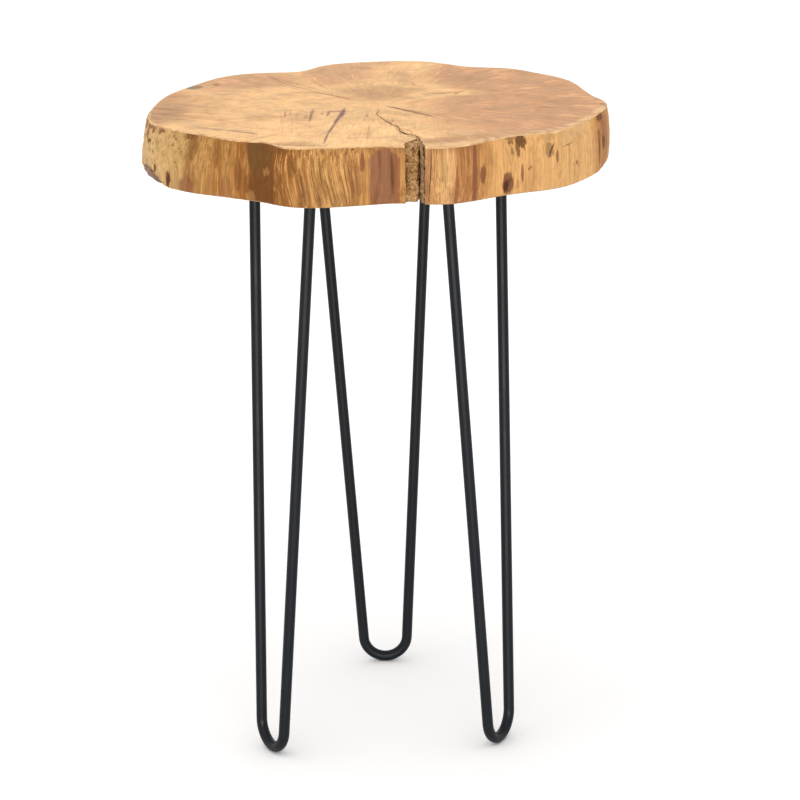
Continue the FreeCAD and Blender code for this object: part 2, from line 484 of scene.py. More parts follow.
    def shade(self, amount):
        """Makes the colour so far lighter or darker by a number about 1."""
        made = self.node("ShaderNodeHueSaturation", Color=self.colour, Value=amount)
        self.colour = made.outputs["Color"]

    def vary(self, pattern, amount):
        """Lightens the colour so far where a pattern is above 0.5, and darkens it below."""
        self.shade(1 + (pattern - 0.5) * amount)

    def bump(self, height, distance, strength=1.0):
        """Relief from a height of 0 to 1; distance is its depth in millimetres."""
        made = self.node("ShaderNodeBump", Height=height, Distance=distance * MM,
                         Strength=strength)
        self.feed(self.bsdf.inputs["Normal"], made.outputs["Normal"])

    def finished(self, roughness, specular=0.5, metallic=0.0):
        """The material, with the colour so far and these values on its surface."""
        self.feed(self.bsdf.inputs["Base Color"], self.colour)
        self.feed(self.bsdf.inputs["Roughness"], roughness)
        self.feed(self.bsdf.inputs["Specular IOR Level"], specular)
        self.feed(self.bsdf.inputs["Metallic"], metallic)
        return self.material


def set_stops(ramp, stops):
    while len(ramp.elements) > 1:
        ramp.elements.remove(ramp.elements[-1])
    ramp.elements[0].position = stops[0][0]
    ramp.elements[0].color = stops[0][1]
    for place, colour in stops[1:]:
        ramp.elements.new(place).color = colour


# How much light falls on the table in the studio: a colour seen in the photo, divided by
# this, is the surface's own colour
STUDIO_LIGHT = 1.2


def seen(red, green, blue):
    """The surface colour that looks like this, 0 to 255, in the studio light."""
    shares = (red / 255, green / 255, blue / 255)
    light = (c / 12.92 if c <= 0.04045 else ((c + 0.055) / 1.055) ** 2.4 for c in shares)
    return (*(c / STUDIO_LIGHT for c in light), 1.0)


def rgba(colour):
    return (*colour, 1.0)


# Helpers that stand for what a maker does by hand

def deselect():
    bpy.ops.object.select_all(action="DESELECT")


def pick(obj):
    deselect()
    obj.select_set(True)
    bpy.context.view_layer.objects.active = obj


def finish_place(obj):
    """Moves the piece's place, turn and size into its mesh."""
    pick(obj)
    bpy.ops.object.transform_apply(location=True, rotation=True, scale=True)


def named(name):
    """Takes the piece that an operator has just added, and moves its place into its mesh."""
    made = bpy.context.object
    made.name = name
    made.data.name = name
    finish_place(made)
    return made


def edit(obj):
    pick(obj)
    bpy.ops.object.mode_set(mode="EDIT")


def leave_edit():
    bpy.ops.object.mode_set(mode="OBJECT")


def select(obj, kind, wanted):
    """Selects each EDGE or FACE for which wanted is true, with obj in edit mode."""
    bpy.ops.mesh.select_all(action="DESELECT")
    bpy.ops.mesh.select_mode(type=kind)
    shape = bmesh.from_edit_mesh(obj.data)
    for element in shape.faces if kind == "FACE" else shape.edges:
        if wanted(element):
            element.select_set(True)
    shape.select_flush_mode()
    bmesh.update_edit_mesh(obj.data)


def select_upright(obj, height):
    """Selects the edges that rise by more than half of a height."""
    select(obj, "EDGE", lambda edge: abs(edge.verts[0].co.z - edge.verts[1].co.z) > height / 2)


def extrude(move):
    bpy.ops.mesh.extrude_region_move(TRANSFORM_OT_translate={"value": move})


def turn_outwards():
    """Turns all faces outwards, which is the last step in edit mode."""
    bpy.ops.mesh.select_all(action="SELECT")
    bpy.ops.mesh.normals_make_consistent(inside=False)
    leave_edit()


def apply_modifiers(obj):
    pick(obj)
    for modifier in list(obj.modifiers):
        bpy.ops.object.modifier_apply(modifier=modifier.name)


def cut(obj, cutter):
    """Takes the cutter's shape out of obj. The cut faces keep the cutter's material."""
    boolean = obj.modifiers.new("cut", "BOOLEAN")
    boolean.operation = "DIFFERENCE"
    boolean.solver = "EXACT"
    boolean.material_mode = "TRANSFER"
    boolean.object = cutter
    faces = len(obj.data.polygons)
    apply_modifiers(obj)
    if len(obj.data.polygons) < faces:
        raise RuntimeError(f"cutting {obj.name} with {cutter.name} lost faces")
    bpy.data.objects.remove(cutter)


def join(first, *others):
    pick(first)
    for other in others:
        other.select_set(True)
    bpy.ops.object.join()
    return first


def copy_of(obj, name):
    """A copy with a mesh of its own."""
    made = obj.copy()
    made.data = obj.data.copy()
    made.name = name
    made.data.name = name
    bpy.context.collection.objects.link(made)
    return made


def copy_at(obj, name, place, turn):
    """A copy that stands at a place and is turned about Z."""
    made = copy_of(obj, name)
    made.location = place
    made.rotation_euler = (0, 0, turn)
    finish_place(made)
    return made


def smooth_faces(obj, degrees):
    pick(obj)
    bpy.ops.object.shade_smooth_by_angle(angle=math.radians(degrees))


def paint(obj, material):
    """Gives the whole piece one material, also where a cut left an empty slot."""
    obj.data.materials.clear()
    obj.data.materials.append(material)
    for face in obj.data.polygons:
        face.material_index = 0


def part_of_table(obj, slot, *nodes):
    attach(obj, BODY)
    if nodes:
        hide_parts(*nodes)


# Wooden top: shape

def front_angles(points):
    """Degrees from the front, towards the right, for rows of points."""
    return np.degrees(np.arctan2(points[:, 0], -points[:, 1]))


def rim_radii(degrees, heights):
    """Radius of the CAD's rim at each height and angle, carried straight across the pocket."""
    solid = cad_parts["wood_top"].data
    tree = BVHTree.FromPolygons(
        [v.co.copy() for v in solid.vertices], [tuple(p.vertices) for p in solid.polygons],
    )
    reach = WOOD_HIGH.length
    skin = 0.02 * MM
    radii = np.zeros((len(heights), len(degrees)))
    for row, height in enumerate(heights):
        level = min(max(height, WOOD_LOW.z + skin), WOOD_HIGH.z - skin)
        for column, angle in enumerate(np.radians(degrees)):
            outward = Vector((math.sin(angle), -math.cos(angle), 0))
            start = outward * reach + Vector((0, 0, level))
            distance = tree.ray_cast(start, -outward)[3]
            radii[row, column] = reach - distance
    spare = 0.4
    mouth = front_angles(np.array((POCKET_PLAN[0], POCKET_PLAN[-1])))
    inside = (degrees > mouth[0] - spare) & (degrees < mouth[1] + spare)
    for row in radii:
        row[inside] = np.interp(degrees[inside], degrees[~inside], row[~inside])
    return radii


def soft_noise(points, grain, seed):
    """Smooth noise from -1 to 1 at points in metres; grain is its size in millimetres."""
    shift = Vector((seed * 7.31, seed * 3.17, seed * 5.77))
    scale = Vector(1 / (size * MM) for size in grain)
    return np.array([noise.noise(Vector(p) * scale + shift) for p in points])


def ease(value, low, high):
    """0 below low and 1 above high, with an S-curve between."""
    share = np.clip((value - low) / (high - low), 0, 1)
    return share * share * (3 - 2 * share)


def band(value, part, soft):
    """1 inside a part and 0 outside; soft is half the width of its ends."""
    low, high = part
    return ease(value, low - soft, low + soft) * (1 - ease(value, high - soft, high + soft))


def edge_recesses(degrees, heights, wobble):
    """Depth in millimetres of the hollows, the bark remnant and the worn strip."""
    line = np.interp(degrees, *zip(*BARK_REMNANT_LINE)) + 1.6 * wobble
    below = 1 - ease(heights, line - 0.7, line + 0.7)
    depth = 0.9 * (band(degrees, BARK_REMNANT_PART, 1.5) * below)
    for direction, height, half_turn, half_height, deep in EDGE_HOLLOWS:
        away = np.hypot((degrees - direction) / half_turn, (heights - height) / half_height)
        depth += deep * (1 - ease(away + 0.3 * wobble, 0.5, 1.15))
    line = np.interp(degrees, *zip(*WORN_RIM_LINE)) + 0.8 * wobble
    above = np.clip((heights - line) / 10, 0, 1.5)
    worn = band(degrees, WORN_RIM_PART, 0.8) * (0.5 * ease(above, 0, 0.08) + 1.6 * above)
    return depth + worn


def live_edge_relief(points, degrees, heights, fibre_depth):
    """How far the bare edge lies in from the CAD's rim, in metres; it stands out below 0."""
    sway = soft_noise(points, (16, 16, 24), 1) * 1.8 * MM
    swayed = points + np.stack([sway, sway, np.zeros_like(sway)], 1)
    coarse = (1 - np.abs(soft_noise(swayed, (5.0, 5.0, 70), 2))) ** 2
    fine = (1 - np.abs(soft_noise(swayed, (2.3, 2.3, 34), 3))) ** 2
    fibres = (coarse - 0.6) + 0.55 * (fine - 0.6)
    roll = soft_noise(points, (32, 32, 70), 4) * 0.55
    knobs = soft_noise(points, (12, 12, 10), 5)
    pits = ease(soft_noise(points, (6, 6, 5), 6), 0.25, 0.5)
    knobbly = band(degrees, KNOBBLY_PART, 4)
    wobble = soft_noise(points, (5, 5, 5), 7)
    relief = roll + knobbly * (0.5 + 1.6 * knobs + 1.0 * pits + 0.5 * wobble)
    relief += edge_recesses(degrees, heights, wobble)
    low_corner = 1 - ease(heights, 0, 2.5)
    high_corner = ease(heights, 48.5, 50)
    tucked = 0.7 * low_corner + 0.25 * high_corner
    return (relief + tucked) * MM + fibres * (1 - 0.7 * knobbly) * fibre_depth


def plain_slice(settings):
    """A cylinder cut into rows and rings, with a material for each kind of surface."""
    radius = (WOOD_HIGH.x - WOOD_LOW.x) / 2
    deselect()
    bpy.ops.mesh.primitive_cylinder_add(
        vertices=settings.rim_columns, radius=radius, depth=THICKNESS, end_fill_type="NGON",
        location=(0, 0, (WOOD_LOW.z + WOOD_HIGH.z) / 2),
    )
    top = named("wood_slice")
    edit(top)
    select_upright(top, THICKNESS)
    bpy.ops.mesh.subdivide_edgering(
        number_cuts=settings.wall_rows - 1, interpolation="LINEAR",
    )
    select(top, "FACE", lambda face: abs(face.normal.z) > 0.9)
    for width in (settings.arris_width, *RING_WIDTHS):
        bpy.ops.mesh.inset(thickness=width, depth=0)
    leave_edit()
    for surface in (end_grain_material(settings), live_edge_material(),
                    underside_material(), arris_material()):
        top.data.materials.append(surface)
    for face in top.data.polygons:
        if abs(face.normal.z) < 0.5:
            face.material_index = LIVE_EDGE
        elif face.normal.z < 0:
            face.material_index = UNDERSIDE
        elif face.center.xy.length > radius - settings.arris_width:
            face.material_index = ARRIS
        else:
            face.material_index = END_GRAIN
    return top, radius


def shape_live_edge(top, radius, settings):
    """Moves the cylinder's columns out or in to the live edge, with its relief."""
    count = len(top.data.vertices)
    flat = np.empty(count * 3)
    top.data.vertices.foreach_get("co", flat)
    points = flat.reshape(-1, 3)
    degrees = np.round(front_angles(points), 3)
    inset = radius - np.hypot(points[:, 0], points[:, 1])
    heights = (points[:, 2] - WOOD_LOW.z) / MM
    steps = np.unique(degrees)
    levels = np.linspace(WOOD_LOW.z, WOOD_HIGH.z, settings.wall_rows + 1)
    table = rim_radii(steps, levels)
    share = heights * MM / THICKNESS * settings.wall_rows
    row = np.clip(np.round(share).astype(int), 0, settings.wall_rows)
    rim = table[row, np.searchsorted(steps, degrees)]
    turned = np.radians(degrees)
    outward = np.stack([np.sin(turned), -np.cos(turned), np.zeros(count)], 1)
    on_rim = outward * rim[:, None]
    on_rim[:, 2] = points[:, 2]
    relief = live_edge_relief(on_rim, degrees, heights, settings.fibre_depth)
    shaped = outward * (rim - relief - inset)[:, None]
    shaped[:, 2] = points[:, 2]
    on_end = (share < 0.01) | (share > settings.wall_rows - 0.01)
    patchy = 0.5 + 0.5 * soft_noise(on_rim, (26, 26, 26), 9)
    drop = (0.3 + 1.1 * patchy + 0.3 * soft_noise(on_rim, (5, 5, 5), 10)) * MM
    drop *= on_end * np.interp(inset / settings.arris_width, (0, 1, 1.4), (1, 0.12, 0))
    shaped[:, 2] -= np.where(share > 1, 1, -1) * drop
    low = np.array(WOOD_LOW)
    high = np.array(WOOD_HIGH)
    top.data.vertices.foreach_set("co", np.clip(shaped, low, high).ravel())
    top.data.update()


def spaced(plan, step):
    """Points every step or so round a closed outline."""
    points = []
    for start, end in zip(plan, plan[1:] + plan[:1]):
        run = Vector(end) - Vector(start)
        count = max(1, round(run.length / step))
        points += [Vector(start) + run * (index / count) for index in range(count)]
    return points


def rough_block(name, plan, low, high, step, lumps):
    """An upright block over plan points in millimetres; lumps are rows of size and height."""
    outline = [point * MM for point in spaced(tuple(plan), step)]
    rise = high - low
    rows = max(1, round(rise / MM / step)) + 1
    deselect()
    bpy.ops.mesh.primitive_circle_add(
        vertices=len(outline), radius=MM, fill_type="NGON", location=(0, 0, 0),
    )
    block = named(name)
    for vertex, point in zip(block.data.vertices, outline):
        vertex.co = (*point, low)
    edit(block)
    bpy.ops.mesh.select_all(action="SELECT")
    extrude((0, 0, rise))
    select_upright(block, rise)
    bpy.ops.mesh.subdivide_edgering(number_cuts=rows - 1, interpolation="LINEAR")
    turn_outwards()
    # Subdividing leaves last digits that change from run to run, so the points are set anew
    for vertex in block.data.vertices:
        nearest = min(outline, key=lambda point: (point - vertex.co.xy).length)
        row = round((vertex.co.z - low) / rise * rows)
        vertex.co = (*nearest, low + rise * row / rows)
    noise.seed_set(NOISE_SEED)
    for octave, (grain, height) in enumerate(lumps):
        for vertex in block.data.vertices:
            stray = noise.noise_vector(vertex.co / (grain * MM) + Vector((octave, 3, 5)))
            stray.z *= 0.3
            vertex.co += stray * height * MM
    return block


def crumble(obj, voxel, octaves, seed):
    """Rebuilds the piece with even faces and roughens it; octaves are sizes and heights."""
    remesh = obj.modifiers.new("remesh", "REMESH")
    remesh.mode = "VOXEL"
    remesh.voxel_size = voxel
    apply_modifiers(obj)
    normals = [vertex.normal.copy() for vertex in obj.data.vertices]
    for grain, height in octaves:
        for vertex, normal in zip(obj.data.vertices, normals):
            place = vertex.co / (grain * MM) + Vector((seed, 2 * seed, 3 * seed))
            vertex.co += normal * (noise.noise(place) * height * MM)
    obj.data.update()


def check_plan(spine):
    """Outline of a check from points with half widths."""
    left = []
    right = []
    for index, (x, y, half) in enumerate(spine):
        before = Vector(spine[max(index - 1, 0)][:2])
        after = Vector(spine[min(index + 1, len(spine) - 1)][:2])
        along = (after - before).normalized()
        side = Vector((-along.y, along.x)) * half
        left.append((x + side.x, y + side.y))
        right.append((x - side.x, y - side.y))
    return tuple(left + right[::-1])


class TABLE_OT_wood_top(bpy.types.Operator):
    """Shape the live-edge slice with its bark pocket and drying checks"""
    bl_idname = "side_table.wood_top"
    bl_label = "Wooden Top"

    def execute(self, context):
        settings = context.scene.wood_top_settings
        top, radius = plain_slice(settings)
        shape_live_edge(top, radius, settings)
        beyond = 8 * MM
        pocket = rough_block("pocket", POCKET_PLAN, WOOD_LOW.z - beyond, WOOD_HIGH.z + beyond,
                             1.6, POCKET_LUMPS)
        paint(pocket, pocket_wall_material())
        cut(top, pocket)
        torn_wall_and_rim_shade = check_wall_material()
        for name, (depth, spine) in CHECKS.items():
            check = rough_block(name, check_plan(spine), WOOD_HIGH.z - depth * MM,
                                WOOD_HIGH.z + beyond, 1.3, CHECK_LUMPS)
            paint(check, torn_wall_and_rim_shade)
            cut(top, check)
        smooth_faces(top, 35)
        part_of_table(top, "slab_wood", "wood_top")
        return {"FINISHED"}


# Wooden top: materials

# Ends of the tapered marks on the upper face, in millimetres, then half the width and the
# strength
PURPLE_MARKS = (
    (-28, -35, -32, -80, 2.3, 0.9),
    (-31, -60, -37, -114, 1.7, 0.85),
    (-35, -100, -42, -154, 1.3, 0.8),
    (-41, -144, -44, -191, 1.1, 0.75),
    (-46, -49, -23, -47, 2.0, 0.75),
    (-41, -44, -43, -68, 1.4, 0.65),
    (-47, -46, -48, -64, 1.2, 0.4),
    (-56, -36, -58, -92, 1.4, 0.7),
    (-56, -38, -57, -58, 1.9, 0.5),
    (-61, -60, -62, -80, 1.9, 0.35),
    (-80, -42, -80, -72, 1.1, 0.45),
    (-76, -42, -76, -64, 1.0, 0.35),
    (-69, -50, -70, -76, 1.4, 0.3),
    (-158, -112, -124, -130, 1.6, 0.5),
    (-131, -125, -103, -144, 2.2, 0.6),
    (-110, -136, -102, -148, 2.8, 0.45),
    (-126, -125, -106, -132, 1.2, 0.4),
    (-200, -44, -181, -51, 1.8, 0.5),
    (-199, -20, -180, -30, 2.2, 0.4),
    (-198, -60, -186, -78, 1.8, 0.3),
)
BROWN_MARKS = (
    (10, -25, 51, -79, 2.6, 0.8),
    (12, -28, 34, -54, 1.5, 0.5),
    (30, -44, 58, -76, 1.2, 0.35),
    (37, 29, 83, 41, 1.5, 0.55),
    (71, 28, 76, 40, 1.3, 0.55),
    (74, 39, 82, 47, 1.4, 0.5),
    (84, 42, 112, 54, 1.0, 0.25),
    (-102, 138, -83, 92, 1.7, 0.35),
    (-87, 98, -53, 48, 1.4, 0.45),
    (-57, 52, -22, 11, 1.9, 0.65),
    (-90, 90, -62, 50, 1.1, 0.35),
    (-70, 60, -48, 33, 1.0, 0.3),
    (-8, -64, -8, -76, 1.4, 0.6),
    (2, -40, 0, -75, 1.4, 0.35),
    (2, -72, 16, -122, 1.8, 0.45),
    (16, -118, 24, -158, 2.6, 0.5),
    (24, -150, 38, -178, 4.2, 0.45),
    (17, -125, 32, -150, 1.2, 0.35),
    (52, -74, 88, -104, 0.9, 0.3),
    (58, -66, 120, -118, 0.8, 0.25),
    (60, -84, 108, -132, 0.9, 0.25),
    (-152, 100, -146, 86, 2.4, 0.35),
    (-112, 18, -96, -2, 2.6, 0.12),
    (-92, 16, -82, 2, 2.2, 0.12),
    (-60, 110, -44, 62, 2.0, 0.25),
    (34, 96, 36, 78, 1.6, 0.3),
    (92, 12, 84, -8, 1.2, 0.25),
    (-84, -52, -80, -142, 1.0, 0.2),
    (-74, -60, -72, -150, 0.8, 0.14),
    (-24, -150, -22, -176, 1.0, 0.2),
    (-38, -120, -24, -108, 1.3, 0.2),
    (-84, -196, -58, -200, 1.6, 0.45),
    (-36, -182, -18, -184, 1.0, 0.3),
    (-6, -110, -8, -178, 0.9, 0.3),
    (-198, -20, -170, -34, 2.4, 0.3),
    (-192, -48, -160, -60, 2.0, 0.3),
    (-200, 6, -184, 14, 2.0, 0.25),
    (-186, -70, -156, -82, 1.8, 0.3),
    (-176, -4, -142, -22, 3.2, 0.25),
    (-168, -40, -128, -52, 2.6, 0.22),
    (-150, 66, -112, 52, 2.8, 0.22),
    (150, 60, 176, 66, 2.0, 0.22),
    (96, -60, 150, -96, 1.2, 0.22),
    (120, -30, 176, -52, 1.2, 0.18),
    (110, 20, 172, 24, 1.4, 0.18),
    (200, -26, 205, -42, 2.4, 0.55),
    (186, -60, 200, -72, 1.6, 0.35),
)

# Pale, worn rim of the upper face at the right, in the same terms
PALE_RIM = (
    (44, -202, 84, -190, 7.0, 0.9),
    (78, -193, 122, -166, 6.5, 0.9),
    (114, -170, 152, -142, 5.5, 0.9),
    (146, -149, 177, -113, 5.0, 0.95),
    (171, -119, 196, -75, 5.0, 0.95),
    (190, -86, 203, -36, 4.5, 0.9),
)

# Zones of the upper face: middle, half length and width in millimetres, turn in degrees and
# strength
PINK_ZONES = (
    (150, -5, 190, 98, 84, 1.0),
    (98, 140, 62, 52, 0, 0.95),
    (-126, 112, 66, 46, 12, 0.8),
    (-192, -4, 34, 74, 0, 0.7),
    (-36, 152, 32, 64, 0, 0.75),
    (76, -180, 46, 17, 12, 0.75),
    (-30, 196, 50, 14, 4, 0.6),
    (-150, -66, 26, 8, -20, 0.45),
)
PALE_ZONES = (
    (60, 36, 34, 17, 12, 0.9),
    (38, 128, 22, 70, 0, 0.35),
    (172, -148, 30, 10, 45, 0.5),
)
DULL_ZONES = (
    (2, 42, 32, 36, 0, 0.65),
    (24, 118, 26, 24, 0, 0.3),
    (162, -28, 26, 30, 0, 0.25),
    (76, 95, 30, 17, 0, 0.45),
    (-150, 30, 16, 26, 0, 0.35),
    (-190, 40, 22, 20, 0, 0.3),
    (-188, -42, 22, 50, 6, 0.65),
    (-148, -20, 14, 34, 0, 0.35),
    (-100, -76, 13, 15, 0, 0.4),
    (-74, -192, 22, 7, -8, 0.5),
    (72, -182, 44, 12, 12, 0.55),
)
# A painted pool of light: the front of the upper face made lighter, where the light falls brighter
PAINTED_LIGHT_ZONES = ((-30, -150, 100, 52, 8, 1.0),)
SAWN_ZONES = ((-20, -120, 95, 78, 0, 1.0),)
KNOTS = ((-168, 82, 9, 7, 60, 0.8), (-148, 95, 3, 6, 0, 0.5))

# The pith, where the rays and rings of the upper face start, in millimetres
PITH = (0, -15, 0)

# Painted shade in the crease just inside the front rim, where the upper face meets the
# rounded arris, as points in millimetres
RIM_CREASE_SHADE_LINE = (
    (-138, -158), (-122, -171), (-108, -181), (-92, -189), (-70, -196), (-44, -202),
)


def end_grain_material(settings):
    """The sanded upper face: straw and pinkish zones, rays, saw marks and dark marks."""
    shader = Shader("sanded_end_grain")
    plan = shader.scaled(shader.place, (1, 1, 0))
    wide = shader.strayed(plan, 42, (44, 44, 0), detail=6.0)
    near = shader.strayed(plan, 4, (2.4, 2.4, 0), detail=4.0)
    pith = shader.vector("SUBTRACT", plan, PITH)
    distance = shader.vector("LENGTH", shader.strayed(pith, 55, (36, 36, 0), detail=4.0))
    heading = shader.vector("NORMALIZE", shader.strayed(pith, 26, (7, 7, 0)))
    fine_rays, rays, broad_rays = (
        shader.noise(shader.vector("MULTIPLY_ADD", heading, (count, count, 0),
                                   shader.join(0, 0, distance / length)))
        for count, length in ((120, 24), (42, 28), (9, 85))
    )
    rings = shader.noise(shader.join(distance / 5.5, broad_rays * 2), detail=5.0)
    clouds = shader.noise(plan, 34, detail=5.0)
    mottle = shader.noise(shader.strayed(plan, 9, (8, 8, 0)), 7, detail=4.0)

    # The zones of the wood
    ragged = (rays - 0.5) * 0.9 + (clouds - 0.5) * 1.3 + (rings - 0.5) * 0.8
    pink = shader.spots(wide, PINK_ZONES, soft=0.45) + (broad_rays - 0.5) * 0.6
    pink = shader.smooth(pink - shader.spots(wide, PALE_ZONES, soft=0.5) + ragged, -0.05, 1.05)
    shader.colour = shader.mix(pink, rgba(settings.pale_wood), rgba(settings.pink_wood))
    shader.tint(shader.spots(wide, DULL_ZONES, soft=0.5), (190, 142, 98))
    tan = shader.noise(shader.strayed(plan, 30, (30, 30, 0)), 26, detail=4.0)
    shader.tint(shader.smooth(tan, 0.48, 0.66) * (pink * 0.3 + 0.42), (206, 152, 104))
    pale = shader.smooth(rays, 0.55, 0.68) * shader.smooth(clouds, 0.44, 0.6) * pink
    shader.tint(pale * 0.45, (238, 194, 148))

    # Rays, rings and mottling, then painted light on the front
    shader.vary(fine_rays, 0.42)
    shader.vary(rays, pink * 0.25 + 0.55)
    shader.vary(rings, pink * -0.1 + 0.42)
    shader.vary(mottle, pink * 0.05 + 0.42)
    shader.shade(1 + (clouds - 0.5) * 0.95 + (broad_rays - 0.5) * 0.4)
    # Painted light: lightens the front of the upper face
    shader.shade(1 + shader.spots(wide, PAINTED_LIGHT_ZONES, soft=0.6) * 0.11)

    # Saw lines, veins and flecks
    lengthwise = shader.noise(shader.scaled(plan, (1.1, 0.03, 0)), detail=2.0)
    crosswise = shader.noise(shader.scaled(plan, (0.03, 0.35, 0)), detail=2.0)
    saw_lines = shader.smooth(lengthwise, 0.54, 0.68) * 0.22
    saw_lines = saw_lines + shader.smooth(crosswise, 0.56, 0.70) * 0.11
    shader.shade(1 - saw_lines * shader.spots(wide, SAWN_ZONES, soft=0.5))
    veins = shader.contour(rays, 0.5, 0.022) * shader.smooth(mottle, 0.45, 0.6)
    shader.shade(1 - veins * 0.2)
    flecks = shader.noise(plan, 1.3, detail=2.0)
    shader.shade(shader.smooth(flecks, 0.64, 0.74, 1.0, 0.86))

    # Marks, painted shade in the rim crease, the pale rim and the knots
    brown = shader.strokes(near, BROWN_MARKS, soft=0.35)
    fray = shader.smooth(shader.noise(near, 3.0, detail=4.0), 0.36, 0.52, 0.6, 1.0)
    shader.tint(brown * fray, (124, 84, 48))
    shader.tint(shader.strokes(near, PURPLE_MARKS) * fray, (96, 62, 72))
    # Painted shade: a dark line along the crease inside the front rim
    torn_wall_and_rim_shade = [(*start, *end, 1.1, 0.7) for start, end in zip(RIM_CREASE_SHADE_LINE, RIM_CREASE_SHADE_LINE[1:])]
    shader.tint(shader.strokes(near, torn_wall_and_rim_shade) * fray, (150, 102, 66))
    rim = shader.strokes(shader.strayed(plan, 4, (10, 10, 0), detail=5.0), PALE_RIM)
    streaks = shader.smooth(rays + clouds + mottle, 1.28, 1.6)
    shader.tint(rim * fray * streaks, (242, 200, 146))
    shader.tint(shader.spots(near, KNOTS, soft=0.25), (126, 112, 84))
    shader.bump(rays * 0.5 + mottle * 0.5 - saw_lines * 2.0 - brown * 0.4, 0.2, 0.6)
    return shader.finished(shader.smooth(clouds, 0.3, 0.7, 0.55, 0.68), 0.2)


# One degree round the live edge, in millimetres
DEGREE = 3.7

# Wood of the live edge round the table: degrees from the front, and the colour seen there.
# The darkest stops, round -24 degrees, are part of the painted shade of the hollow at the
# front left
EDGE_COLOURS = (
    (-180, (206, 150, 98)),
    (-130, (214, 160, 102)),
    (-84, (214, 172, 116)),
    (-64, (219, 177, 119)),
    (-57, (215, 171, 112)),
    (-50.5, (200, 157, 98)),
    (-48.3, (160, 112, 58)),
    (-46, (198, 148, 86)),
    (-42, (196, 142, 79)),
    (-39.5, (170, 112, 54)),
    (-36.5, (194, 140, 77)),
    (-33, (169, 108, 49)),
    (-24, (151, 96, 42)),
    (-18, (183, 121, 60)),
    (-14, (213, 154, 86)),
    (-9, (222, 166, 96)),
    (-6, (206, 146, 84)),
    (-2, (206, 146, 80)),
    (6, (202, 145, 82)),
    (10.5, (204, 144, 94)),
    (13.5, (220, 164, 102)),
    (15.5, (236, 184, 124)),
    (17.5, (198, 134, 80)),
    (21, (190, 128, 76)),
    (24.5, (214, 152, 88)),
    (28, (235, 176, 110)),
    (45, (234, 179, 116)),
    (60, (238, 183, 118)),
    (66, (202, 142, 78)),
    (71, (176, 114, 58)),
    (78, (208, 154, 96)),
    (180, (206, 150, 98)),
)

